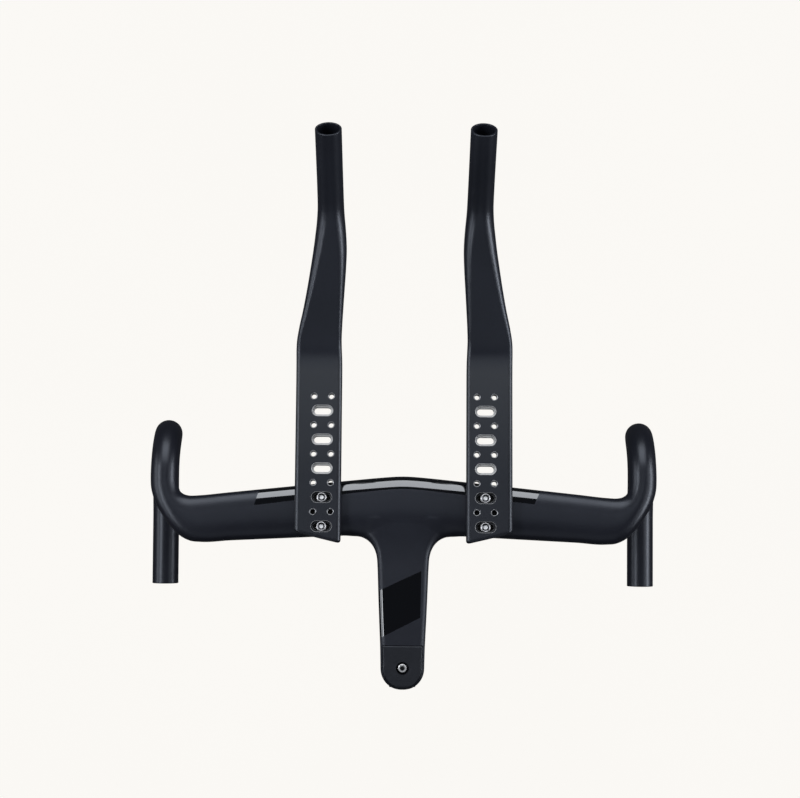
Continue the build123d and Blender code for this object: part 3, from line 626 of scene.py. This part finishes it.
# ---------------------------------------------------------------------------
# extensions
# ---------------------------------------------------------------------------
ext_rows = (
    (60.0, 60.6, 73.85, 19.95, 4.5, 3.6), (238.0, 60.6, 73.85, 19.95, 4.5, 3.6), (247.0, 60.6, 73.9, 19.95, 4.5, 3.6),
    (256.2, 60.7, 74.0, 19.9, 4.5, 3.6), (264.2, 61.6, 74.2, 19.75, 4.6, 3.65), (272.6, 64.2, 74.1, 19.4, 4.95, 3.8),
    (282.6, 68.3, 73.0, 18.7, 5.8, 4.3), (299.0, 75.1, 70.5, 17.3, 6.7, 5.2), (315.3, 81.9, 68.2, 16.2, 7.6, 6.3),
    (331.5, 88.65, 66.1, 15.3, 8.5, 7.4), (347.6, 95.35, 64.4, 14.25, 9.4, 8.7), (359.6, 100.35, 63.8, 13.15, 10.05, 9.6),
    (367.6, 103.8, 63.6, 12.3, 10.5, 10.2), (373.4, 106.7, 63.6, 11.75, 10.8, 10.6), (379.4, 110.4, 63.6, 11.35, 11.05, 10.9),
    (385.4, 115.3, 63.65, 11.2, 11.15, 11.1), (392.0, 121.6, 63.75, 11.15, 11.15, 11.15), (434.3, 164.2, 64.5, 11.15, 11.15, 11.15),
    (476.6, 206.8, 65.25, 11.15, 11.15, 11.15),
)
ERING = 72


def slab_ring(a, b, r):
    """Points round a rectangle with rounded corners; flat sides are sparse while it is flat, even when it is round."""
    r = min(r, a - 1e-3, b - 1e-3)
    corners = ((a - r, b - r, 0), (r - a, b - r, 90), (r - a, r - b, 180), (a - r, r - b, 270))
    dense, marks = [], []
    run = 0.0
    pts = []
    for cx, cy, d in corners:
        arc = [(cx + r * math.cos(math.radians(d + k * 2.5)), cy + r * math.sin(math.radians(d + k * 2.5))) for k in range(37)]
        pts.append(arc)
    # start in the middle of the +a side
    line = [(a, 0.0)]
    zone = [0]
    for k, arc in enumerate(pts):
        line += arc
        zone.append(len(line) - 37)
        zone.append(len(line) - 1)
    line.append((a, 0.0))
    L = np.array(line)
    run = np.r_[0, np.cumsum(np.hypot(*np.diff(L, axis=0).T))]
    z = run[zone]
    ends = [(0.0, z[1], 2), (z[1], z[2], 7), (z[2], z[3], 18), (z[3], z[4], 7), (z[4], z[5], 4),
            (z[5], z[6], 7), (z[6], z[7], 18), (z[7], z[8], 7), (z[8], run[-1], 2)]
    own = np.concatenate([np.linspace(s, e, c, endpoint=False) for s, e, c in ends])
    even = np.linspace(0, run[-1], len(own), endpoint=False)
    w = float(smooth01((r / b - 0.5) / 0.45))
    at = own * (1 - w) + even * w
    return np.interp(at, run, L[:, 0]), np.interp(at, run, L[:, 1])


def ext_rings():
    rows = curve_through(ext_rows, 3.0)
    P = np.array([(r[2], r[0], r[1]) for r in rows])
    T = np.gradient(P, axis=0)
    straight = np.array((64.5 - 63.75, 434.3 - 392.0, 164.2 - 121.6))
    straight /= np.linalg.norm(straight)
    rings, frames = [], []
    # rear end, cut at a slant and rounded
    slant = (106.9 - 97.4) / (93.8 - 53.9)
    for k in range(0, 8):
        p = math.pi / 2 * (7 - k) / 7
        px, py = slab_ring(19.95 - 3.0 * (1 - math.cos(p)), 4.5 - 0.9 * (1 - math.cos(p)), 3.55)
        x = 73.85 - px
        y = 102.15 + slant * (x - 73.85) + 3.0 * (1 - math.sin(p))
        rings.append(np.stack([x, y, 60.6 + py], 1))
    px, py = slab_ring(19.95, 4.5, 3.6)
    for y in np.linspace(112, 238, 34):
        k = 1 - (y - 112) / 126
        x = 73.85 - px
        rings.append(np.stack([x, y + slant * k * (x - 73.85), 60.6 + py], 1))
    for r, p, t in zip(rows, P, T):
        if r[0] <= 238.5:
            continue
        t = np.array((0.0, t[1], t[2])) if r[0] < 391.9 else straight
        t = t / np.linalg.norm(t)
        s = np.array((-1.0, 0.0, 0.0))
        s = s - t * s.dot(t)
        s /= np.linalg.norm(s)
        v = np.cross(t, s)
        frames.append((p, s, v, r))
        if r[0] > 433.9:
            break
        px, py = slab_ring(r[3], r[4], r[5])
        rings.append(p + px[:, None] * s + py[:, None] * v)
    end, s, v, _ = frames[-1]
    ang = np.linspace(0, 2 * math.pi, len(px), endpoint=False)
    circle = lambda c, rad: c + rad * (np.cos(ang)[:, None] * s + np.sin(ang)[:, None] * v)
    rings.append(circle(end - straight * 0.5, 11.15))
    inner = []
    for p, s2, v2, r in frames[-2::-1]:
        if r[0] < 372:
            break
        a, b = min(r[3], 11.15) - 1.75, r[4] - 1.75
        inner.append(p + a * np.cos(ang)[:, None] * s2 + b * np.sin(ang)[:, None] * v2)
    rings += open_end(circle, end, straight, 11.15, 9.4, inner)
    return np.array(rings)


def slot_outline(x, y, z, length, width, count=20):
    r, h = width / 2, (length - width) / 2
    pts = []
    for a in np.linspace(-90, 90, count):
        pts.append((x + h + r * math.cos(math.radians(a)), y + r * math.sin(math.radians(a)), z))
    for a in np.linspace(90, 270, count):
        pts.append((x - h + r * math.cos(math.radians(a)), y + r * math.sin(math.radians(a)), z))
    return np.array(pts)


E_R = ext_rings()
E_N = grid_normals(E_R)
for sign, side in ((1, "right"), (-1, "left")):
    mirror = np.array((sign, 1.0, 1.0))
    v, n = E_R.reshape(-1, 3) * mirror, E_N.reshape(-1, 3) * mirror
    k, ring = E_R.shape[:2]
    f = tube_faces(0, k, ring).tolist()
    f.append(list(range(ring))[::-1])
    f.append([(k - 1) * ring + j for j in range(ring)])
    if sign < 0:
        f = [q[::-1] for q in f]
    ext = make_mesh(side + "_extension_skin", v, f)
    holes, wells, slots = [], [], []
    for row in range(5):
        ys_ = 111.8 + 25.0 * row
        x = sign * hole_x
        # recess and slot, each with a rounded-over rim
        slots.append(stack("c", [slot_outline(x, ys_, z, 14.6 + e, 5.8 + e) for z, e in
                                 ((40.0, 1.0), (56.1, 0.9), (56.5, 0.0), (60.45, 0.0), (60.7, 0.1), (60.85, 0.3), (60.92, 0.6))]))
        wells.append(stack("c", [slot_outline(x, ys_, z, 17.6 + e, 9.1 + e) for z, e in
                                 ((60.9, 0.0), (64.7, 0.0), (64.9, 0.12), (65.03, 0.35), (65.1, 0.7), (80.0, 0.7))]))
        for dx in (-7.5, 7.5):
            holes.append(lathe("c", (x + dx, 124.3 + 25.0 * row, 0), (0, 0, 1),
                               [(3.1, 40.0), (3.1, 56.1), (2.75, 56.45), (2.75, 64.3), (3.05, 64.3), (3.05, 64.95), (3.2, 65.1), (3.2, 80.0)], 48))
    cut(ext, [join(wells, "c_wells"), join(slots, "c_slots"), join(holes, "c_holes")])
    dress_normals(ext, v, n, f)
    place(ext, "carbon_extension", side + "_extension")

# ---------------------------------------------------------------------------
# metal parts that show: bolts, washers, threaded inserts
# ---------------------------------------------------------------------------


def thread(outer, low, high, pitch, depth):
    """Profile points of a fine thread, from low to high."""
    pts, z = [], low
    while z + pitch <= high + 1e-6:
        pts += [(outer, z + 0.1 * pitch), (outer - depth, z + 0.5 * pitch), (outer, z + 0.9 * pitch)]
        z += pitch
    return pts


def hexagon(x, y, flats, turn=0.0):
    r = flats / math.sqrt(3)
    return [(x + r * math.cos(turn + k * math.pi / 3), y + r * math.sin(turn + k * math.pi / 3)) for k in range(6)]


for sign, side in ((1, "right"), (-1, "left")):
    x = sign * hole_x
    for row, y, t in (("rear", bolt_rows[0], 50.9), ("front", bolt_rows[1], 53.3)):
        turn = 0.35 if row == "rear" else 0.9
        low = t - 8.0
        bolt = lathe(side + "_" + row + "_bolt_head", (x, y, 0), (0, 0, 1),
                     [(1.9, low), (2.45, low + 0.5)] + thread(2.48, low + 0.6, low + 8.6, 0.8, 0.28)
                     + [(2.48, 61.9), (4.0, 61.9), (4.15, 62.05), (4.15, 64.0), (4.1, 64.3), (3.98, 64.52), (3.8, 64.66), (3.62, 64.7),
                        (3.35, 64.7), (3.22, 64.64), (2.3, 63.7), (2.2, 63.66)], 60)
        cut(bolt, [prism("c", np.array([(px, py, 0) for px, py in hexagon(x, y, 3.2, turn)]), np.array((0, 0, 63.0)), np.array((0, 0, 70.0)))])
        place(crisp(bolt), "steel_bolt", side + "_" + row + "_bolt")
        washer = turned_ring(side + "_" + row + "_washer_ring", (x, y, 0),
                             [(2.62, 60.9), (4.3, 60.9), (4.4, 61.0), (4.4, 61.65), (4.34, 61.82), (4.2, 61.9), (2.75, 61.9), (2.62, 61.8)], 60)
        place(crisp(washer), "washer", side + "_" + row + "_washer")
    rings_ = []
    for row in range(5):
        for dx in (-7.5, 7.5):
            inside = thread(2.2, 57.5, 64.4, 0.7, -0.2)[::-1]
            rings_.append(turned_ring("c", (x + dx, 124.3 + 25.0 * row, 0),
                                      [(2.5, 57.1), (2.6, 57.1), (2.73, 57.25), (2.73, 64.3), (3.03, 64.3), (3.03, 64.85), (2.97, 65.0), (2.82, 65.1),
                                       (2.5, 65.1), (2.36, 65.02), (2.2, 64.75)] + inside + [(2.2, 57.4)], 40))
    inserts = join(rings_, side + "_armrest_insert_set")
    place(crisp(inserts), "insert", side + "_armrest_inserts")

head = lathe("top_cap_bolt_head", (0, 0, 0), up_axis,
             [(1.9, 26.6), (2.4, 27.1)] + thread(2.48, 27.2, 35.2, 0.8, 0.28)
             + [(2.48, 36.4), (3.65, 36.4), (3.8, 36.6), (3.8, 40.7), (3.75, 41.0), (3.63, 41.22), (3.42, 41.36), (3.2, 41.4)], 72)
socket = np.array([(px, py, 0) for px, py in hexagon(0, 0, 4.0, 0.2)])
socket = socket[:, :1] * np.array((1.0, 0, 0)) + socket[:, 1:2] * np.array((0, math.cos(lean), math.sin(lean)))
cut(head, [prism("c", socket, up_axis * 38.5, up_axis * 45.0)])
place(crisp(head), "cap_bolt", "top_cap_bolt")

# ---------------------------------------------------------------------------
# materials
# ---------------------------------------------------------------------------


class Nodes:
    """Small helper to write a node material line by line."""

    def __init__(self, name):
        self.mat = bpy.data.materials.new(name)
        self.mat.use_nodes = True
        self.tree = self.mat.node_tree
        self.tree.nodes.clear()
        self.out = self.tree.nodes.new("ShaderNodeOutputMaterial")
        self.bsdf = self.tree.nodes.new("ShaderNodeBsdfPrincipled")
        self.tree.links.new(self.bsdf.outputs[0], self.out.inputs[0])

    def put(self, socket, value):
        if hasattr(value, "is_output"):
            self.tree.links.new(value, socket)
        elif value is not None:
            socket.default_value = value

    def math(self, op, a, b=None, c=None, clamp=False):
        n = self.tree.nodes.new("ShaderNodeMath")
        n.operation, n.use_clamp = op, clamp
        for s, v in zip(n.inputs, (a, b, c)):
            self.put(s, v)
        return n.outputs[0]

    def coords(self, kind="Object"):
        return self.tree.nodes.new("ShaderNodeTexCoord").outputs[kind]

    def split(self, vector):
        n = self.tree.nodes.new("ShaderNodeSeparateXYZ")
        self.put(n.inputs[0], vector)
        return n.outputs

    def scaled(self, vector, scale):
        n = self.tree.nodes.new("ShaderNodeMapping")
        self.put(n.inputs[0], vector)
        n.inputs["Scale"].default_value = scale
        return n.outputs[0]

    def noise(self, vector, scale, detail=3.0, rough=0.5, distortion=0.0):
        n = self.tree.nodes.new("ShaderNodeTexNoise")
        self.put(n.inputs["Vector"], vector)
        n.inputs["Scale"].default_value = scale
        n.inputs["Detail"].default_value = detail
        n.inputs["Roughness"].default_value = rough
        n.inputs["Distortion"].default_value = distortion
        return n.outputs[0]

    def spread(self, value, a, b, c, d):
        n = self.tree.nodes.new("ShaderNodeMapRange")
        for s, v in zip(n.inputs, (value, a, b, c, d)):
            self.put(s, v)
        return n.outputs[0]

    def edge(self, value, at, width=0.00025):
        """0 below at, 1 above it, with a narrow soft step."""
        return self.spread(value, at - width, at + width, 0.0, 1.0)

    def mix(self, fac, a, b, rgb=True):
        n = self.tree.nodes.new("ShaderNodeMix")
        n.data_type = "RGBA" if rgb else "FLOAT"
        if rgb:
            self.put(n.inputs[0], fac); self.put(n.inputs[6], a); self.put(n.inputs[7], b)
            return n.outputs[2]
        self.put(n.inputs[0], fac); self.put(n.inputs[2], a); self.put(n.inputs[3], b)
        return n.outputs[0]

    def bump(self, height, strength, distance, normal=None):
        n = self.tree.nodes.new("ShaderNodeBump")
        self.put(n.inputs["Height"], height)
        self.put(n.inputs["Strength"], strength)
        self.put(n.inputs["Distance"], distance)
        self.put(n.inputs["Normal"], normal)
        return n.outputs[0]

    def set(self, **values):
        for name, value in values.items():
            self.put(self.bsdf.inputs[name.replace("_", " ")], value)
        return self.mat


def satin_skin(name, dark, light, gloss=None, rough=(0.40, 0.50), spec=0.42, slot_paint=None, duller=None):
    """Satin lacquer over moulded carbon: faint orange peel, uneven sheen, slightly rubbed edges. gloss returns a mask.
    With the slot masks given, the flat plate gets a painted sheen and its slots get painted light and shade.
    """
    k = Nodes(name)
    at = k.coords()
    large = k.noise(at, 14.0, 3.0, 0.55)
    fine = k.noise(at, 900.0, 2.0, 0.6)
    peel = k.noise(at, 260.0, 2.0, 0.5)
    colour = k.mix(k.spread(large, 0.3, 0.7, 0.0, 1.0), (*dark, 1), (*light, 1))
    colour = k.mix(k.spread(fine, 0.35, 0.75, 0.0, 0.16), colour, (*[c * 1.8 for c in light], 1))
    geo = k.tree.nodes.new("ShaderNodeNewGeometry")
    rub = k.spread(geo.outputs["Pointiness"], 0.53, 0.60, 0.0, 0.35)
    colour = k.mix(rub, colour, (*[c * 1.7 for c in light], 1))
    r = k.spread(k.math("ADD", large, k.math("MULTIPLY", peel, 0.5)), 0.45, 1.0, rough[0], rough[1])
    relief = k.bump(k.math("ADD", k.math("MULTIPLY", fine, 0.35), peel), 0.25, 0.00003)
    coat = 0.0
    if duller:
        r = k.math("ADD", r, k.math("MULTIPLY", duller(k, at), 0.13))
    if gloss:
        mask = gloss(k, at)
        colour = k.mix(mask, colour, (0.0012, 0.0014, 0.0022, 1))
        r = k.mix(mask, r, k.spread(peel, 0.3, 0.7, 0.05, 0.08), rgb=False)
        relief = k.bump(peel, k.math("SUBTRACT", 0.22, k.math("MULTIPLY", mask, 0.19)), 0.00003)
        coat = mask
    if slot_paint:
        # painted sheen: the flat plate's colour runs from darker at its rear to lighter towards its front, a painted
        # gradient of reflected light
        y = k.split(at)[1]
        uneven = k.spread(large, 0.3, 0.7, 0.0, 1.0)
        flat = k.mix(k.spread(y, 0.155, 0.245, 0.0, 1.0), k.mix(uneven, (0.0043, 0.0048, 0.0068, 1), (0.0060, 0.0066, 0.0094, 1)),
                     k.mix(uneven, (0.0130, 0.0140, 0.0162, 1), (0.0162, 0.0174, 0.0200, 1)))
        colour = k.mix(k.spread(y, 0.246, 0.262, 0.0, 1.0), flat, colour)
        # painted light in the slots: a pale painted reflection on the ledges of the empty slots, a darker shaded copy
        # of them under the bolts, pale painted highlights along the rims
        painted_reflection_ledge, painted_shade_ledge, rim = slot_paint(k, at, geo)
        ledge_streaks = k.spread(k.noise(k.scaled(at, (1.0, 6.0, 1.0)), 700.0, 2.0, 0.6), 0.3, 0.7, 0.0, 1.0)
        colour = k.mix(painted_reflection_ledge, colour, k.mix(ledge_streaks, (0.46, 0.46, 0.46, 1), (0.62, 0.62, 0.62, 1)))
        colour = k.mix(painted_shade_ledge, colour, k.mix(ledge_streaks, (0.020, 0.021, 0.024, 1), (0.034, 0.035, 0.040, 1)))
        colour = k.mix(rim, colour, k.mix(ledge_streaks, (0.34, 0.34, 0.35, 1), (0.46, 0.46, 0.47, 1)))
        r = k.mix(k.math("MAXIMUM", k.math("MAXIMUM", painted_reflection_ledge, painted_shade_ledge), rim), r, 0.6, rgb=False)
    return k.set(Base_Color=colour, Roughness=r, Normal=relief, Specular_IOR_Level=spec, Coat_Weight=coat, Coat_Roughness=0.03,
                 Coat_IOR=1.6, Specular_Tint=(0.82, 0.88, 1.0, 1))


def bar_gloss(k, at):
    x, y, z = k.split(at)
    ax = k.math("SQRT", k.math("ADD", k.math("MULTIPLY", x, x), 0.000144))
    behind = k.math("ADD", y, k.math("MULTIPLY", ax, 0.116))
    # it widens a little towards its ends, more at the left one
    behind = k.math("ADD", behind, k.math("ADD", k.spread(ax, 0.05, 0.09, 0.0, 0.0008), k.spread(x, -0.092, -0.128, 0.0, 0.0005)))
    stripe = k.edge(behind, 0.1466)
    stripe = k.math("MULTIPLY", stripe, k.edge(k.math("SUBTRACT", x, k.math("MULTIPLY", y, 0.314)), -0.1703))
    stripe = k.math("MULTIPLY", stripe, k.math("SUBTRACT", 1.0, k.edge(k.math("SUBTRACT", x, k.math("MULTIPLY", y, 0.473)), 0.0504)))
    # slanted field on the stem
    back = k.math("SUBTRACT", y, k.math("MULTIPLY", x, 0.4693))
    front = k.math("SUBTRACT", y, k.math("MULTIPLY", x, 0.5085))
    fieldm = k.math("MULTIPLY", k.math("SUBTRACT", 1.0, k.edge(back, 0.06727)), k.edge(front, 0.02705))
    fieldm = k.math("MULTIPLY", fieldm, k.math("SUBTRACT", 1.0, k.edge(k.math("SUBTRACT", x, k.math("MULTIPLY", y, 0.017)), 0.0145)))
    # neither reaches the underside
    stripe = k.math("MULTIPLY", stripe, k.edge(z, 0.0400))
    fieldm = k.math("MULTIPLY", fieldm, k.edge(k.math("SUBTRACT", z, k.math("MULTIPLY", y, 0.1051)), 0.03534))
    return k.math("MAXIMUM", stripe, fieldm)


def stem_area(k, at):
    """1 on the stem, 0 on the wing, hooks and drops."""
    x, y, z = k.split(at)
    return k.math("MULTIPLY", k.spread(y, 0.075, 0.105, 1.0, 0.0), k.spread(k.math("ABSOLUTE", x), 0.05, 0.10, 1.0, 0.0))


def painted_light_in_slots(k, at, geo):
    """Masks of painted light in the slots: (painted reflection on the ledges of the empty slots, painted shade on the
    ledges under bolts, painted highlights on the rims).
    """
    x, y, z = k.split(at)
    nz = k.split(geo.outputs["True Normal"])[2]
    between = lambda v, a, b, w=0.00005: k.math("MULTIPLY", k.edge(v, a, w), k.math("SUBTRACT", 1.0, k.edge(v, b, w)))
    ledge = k.math("MULTIPLY", between(z, 0.0607, 0.0612), k.edge(nz, 0.6, 0.05))
    # distance from the middle line of the nearest slot
    across = k.math("ABSOLUTE", k.math("SUBTRACT", k.math("ABSOLUTE", x), 0.0705))
    across = k.math("MAXIMUM", k.math("SUBTRACT", across, 0.0043), 0.0)
    along = k.math("SUBTRACT", k.math("WRAP", y, 0.1243, 0.0993), 0.1118)
    d = k.math("SQRT", k.math("ADD", k.math("MULTIPLY", across, across), k.math("MULTIPLY", along, along)))
    # painted highlights along the rim of the recess and the rim of the through slot
    rim = k.math("ADD", k.math("MULTIPLY", between(d, 0.0043, 0.0051), k.math("MULTIPLY", k.edge(z, 0.0646), between(nz, 0.05, 0.985, 0.01))),
                 k.math("MULTIPLY", between(d, 0.0027, 0.0034), k.math("MULTIPLY", between(z, 0.06035, 0.0612), between(nz, 0.05, 0.985, 0.01))), clamp=True)
    rows = k.math("MULTIPLY", k.edge(y, 0.1), k.math("SUBTRACT", 1.0, k.edge(y, 0.2223)))
    rim = k.math("MULTIPLY", rim, rows)
    open_ = k.edge(y, 0.1493)
    # the painted highlight on the rims is dimmer round the bolted slots
    rim = k.math("MULTIPLY", rim, k.spread(open_, 0.0, 1.0, 0.42, 1.0))
    return k.math("MULTIPLY", ledge, open_), k.math("MULTIPLY", ledge, k.math("SUBTRACT", 1.0, open_)), rim


def metal(name, base, rough, grain=220.0, ring=True, metallic=1.0, glint_and_shade_radii=None, socket=None):
    """Turned metal: fine concentric marks, uneven sheen; on bolt heads optionally a painted highlight and painted
    shade in the dish and the key socket.
    """
    k = Nodes(name)
    g = k.coords("Generated")
    at = k.coords()
    x, y, z = k.split(g)
    dx, dy = k.math("SUBTRACT", x, 0.5), k.math("SUBTRACT", y, 0.5)
    radius = k.math("SQRT", k.math("ADD", k.math("MULTIPLY", dx, dx), k.math("MULTIPLY", dy, dy)))
    marks = k.noise(at, 2600.0, 2.0, 0.6)
    if ring:
        turned = k.math("SINE", k.math("MULTIPLY", radius, grain))
        marks = k.math("ADD", k.math("MULTIPLY", marks, 0.7), k.math("MULTIPLY", turned, 0.15))
    cloud = k.noise(at, 420.0, 3.0, 0.6)
    colour = k.mix(k.spread(cloud, 0.3, 0.7, 0.0, 1.0), (*[c * 0.8 for c in base], 1), (*base, 1))
    r = k.spread(cloud, 0.3, 0.7, rough - 0.05, rough + 0.07)
    if glint_and_shade_radii:
        # painted highlight in the middle of the head and painted shade in the dish between it and the rim; radii as
        # shares of the head's diameter
        middle = k.math("SUBTRACT", 1.0, k.edge(radius, glint_and_shade_radii[0], 0.01))
        painted_shade_dish = k.math("MULTIPLY", k.edge(radius, glint_and_shade_radii[0], 0.01), k.math("SUBTRACT", 1.0, k.edge(radius, glint_and_shade_radii[1], 0.01)))
        colour = k.mix(middle, colour, (0.80, 0.81, 0.83, 1))
        colour = k.mix(painted_shade_dish, colour, (0.035, 0.036, 0.04, 1))
        r = k.mix(middle, r, k.spread(cloud, 0.3, 0.7, 0.46, 0.56), rgb=False)
    if socket:
        # painted shade: dark inside of the key socket, round the leaning axis of the steerer
        x, y, z = k.split(at)
        off = k.math("ADD", k.math("MULTIPLY", y, math.cos(lean)), k.math("MULTIPLY", z, math.sin(lean)))
        inside = k.math("SQRT", k.math("ADD", k.math("MULTIPLY", x, x), k.math("MULTIPLY", off, off)))
        colour = k.mix(k.math("SUBTRACT", 1.0, k.edge(inside, socket, 0.0001)), colour, (0.05, 0.05, 0.055, 1))
    return k.set(Base_Color=colour, Metallic=metallic, Roughness=r, Normal=k.bump(marks, 0.3, 0.00002))


def moulded(name, dark, light, rough):
    """Moulded black plastic: fine spark-eroded grain."""
    k = Nodes(name)
    at = k.coords()
    grain = k.noise(at, 1500.0, 2.0, 0.6)
    cloud = k.noise(at, 40.0, 3.0, 0.5)
    colour = k.mix(k.spread(cloud, 0.3, 0.7, 0.0, 1.0), (*dark, 1), (*light, 1))
    return k.set(Base_Color=colour, Roughness=k.spread(grain, 0.3, 0.7, rough - 0.06, rough + 0.08),
                 Normal=k.bump(grain, 0.3, 0.00004), Specular_IOR_Level=0.4)


mats = {
    "carbon_bar": satin_skin("satin carbon, bar", (0.0046, 0.0051, 0.0078), (0.0062, 0.0068, 0.0104), bar_gloss, rough=(0.31, 0.38), spec=0.36, duller=stem_area),
    # the extensions carry a painted sheen on the flat plate and painted light and shade in the slots
    "carbon_extension": satin_skin("satin carbon, extensions", (0.0062, 0.0070, 0.0100), (0.0084, 0.0094, 0.0138), rough=(0.30, 0.37), slot_paint=painted_light_in_slots),
    "cap": satin_skin("satin cap", (0.0068, 0.0072, 0.0090), (0.0088, 0.0094, 0.0118), rough=(0.33, 0.41)),
    # painted shade inside the key socket of the bright bolt
    "cap_bolt": metal("bright bolt", (0.92, 0.92, 0.93), 0.38, socket=0.0021),
    # painted highlight and painted shade on the heads of the grey bolts
    "steel_bolt": metal("grey bolt", (0.50, 0.50, 0.52), 0.36, glint_and_shade_radii=(0.215, 0.385)),
    "washer": metal("grey washer", (0.34, 0.34, 0.35), 0.36),
    "insert": metal("anodised insert", (0.26, 0.265, 0.28), 0.36),
    "shim": moulded("moulded shim", (0.010, 0.010, 0.011), (0.014, 0.014, 0.015), 0.55),
}

slots_of = {s["node"]: s["material_slot"] for s in frame["record"]["subparts"]}
for name, o in frame["nodes"].items():
    for s in o.material_slots:
        s.link = "OBJECT"
        s.material = mats[slots_of[name]]
    o.data.polygons.foreach_set("use_smooth", [True] * len(o.data.polygons))
    crisp(o)
for name, slot in PIECES:
    o = bpy.data.objects[name]
    o.data.materials.clear()
    o.data.materials.append(mats[slot])

# ---------------------------------------------------------------------------
# floor, light
# ---------------------------------------------------------------------------
floor = make_mesh("floor", np.array(((-8000, -8000, -420), (8000, -8000, -420), (8000, 8000, -420), (-8000, 8000, -420)), float), [(0, 1, 2, 3)])
k = Nodes("pale floor")
speck = k.noise(k.coords(), 2.0, 2.0, 0.5)
k.set(Base_Color=(0.02, 0.02, 0.02, 1), Roughness=0.9, Specular_IOR_Level=0.0,
      Emission_Color=k.mix(k.spread(speck, 0.3, 0.7, 0.0, 1.0), (0.930, 0.911, 0.878, 1), (0.938, 0.919, 0.886, 1)), Emission_Strength=1.0)
floor.data.materials.append(k.mat)
floor.visible_diffuse = floor.visible_glossy = False

# the room: pale where the camera looks past the floor, dim round the part so its edges stay dark
world = bpy.data.worlds.new("soft studio")
scene.world = world
world.use_nodes = True
wt = world.node_tree
wt.nodes.clear()
out = wt.nodes.new("ShaderNodeOutputWorld")
pick = wt.nodes.new("ShaderNodeMixShader")
path = wt.nodes.new("ShaderNodeLightPath")
seen, room = wt.nodes.new("ShaderNodeBackground"), wt.nodes.new("ShaderNodeBackground")
seen.inputs[0].default_value = (0.934, 0.915, 0.882, 1)
room.inputs[0].default_value = (0.90, 0.94, 1.0, 1)
room.inputs[1].default_value = 0.05
wt.links.new(path.outputs["Is Camera Ray"], pick.inputs[0])
wt.links.new(room.outputs[0], pick.inputs[1])
wt.links.new(seen.outputs[0], pick.inputs[2])
wt.links.new(pick.outputs[0], out.inputs[0])


def area(name, elevation, azimuth, distance, width, height, radiance, colour=(1, 1, 1)):
    """Softbox in the given direction from the middle of the part; azimuth 0 is +Y, positive to the right."""
    to = Vector((0, 0.15, 0.05))
    e, a = math.radians(elevation), math.radians(azimuth)
    d = bpy.data.lights.new(name, "AREA")
    d.shape, d.size, d.size_y, d.color = "RECTANGLE", width, height, colour
    d.energy = 4.0 * width * height * radiance
    o = bpy.data.objects.new(name, d)
    o.location = to + Vector((math.cos(e) * math.sin(a), math.cos(e) * math.cos(a), math.sin(e))) * distance
    o.rotation_euler = (to - o.location).to_track_quat("-Z", "Y").to_euler()
    scene.collection.objects.link(o)
    return o


area("front softbox", 36.5, 0, 2.6, 2.2, 1.84, 3.6, (0.96, 0.98, 1.0))
area("left strip", 46, -90, 2.2, 2.0, 0.55, 6.8, (0.96, 0.98, 1.0))
area("right strip", 46, 90, 2.2, 2.0, 0.55, 1.6, (0.96, 0.98, 1.0))
area("low left", 17, -90, 2.2, 2.0, 0.7, 3.0, (0.95, 0.97, 1.0))
area("low right", 19, 90, 2.2, 2.0, 0.7, 8.0, (0.95, 0.97, 1.0))
area("overhead", 82, 0, 2.6, 1.3, 0.5, 1.3, (0.92, 0.96, 1.0))
area("rear fill", 42, 180, 2.6, 1.8, 1.7, 0.30, (0.92, 0.96, 1.0))
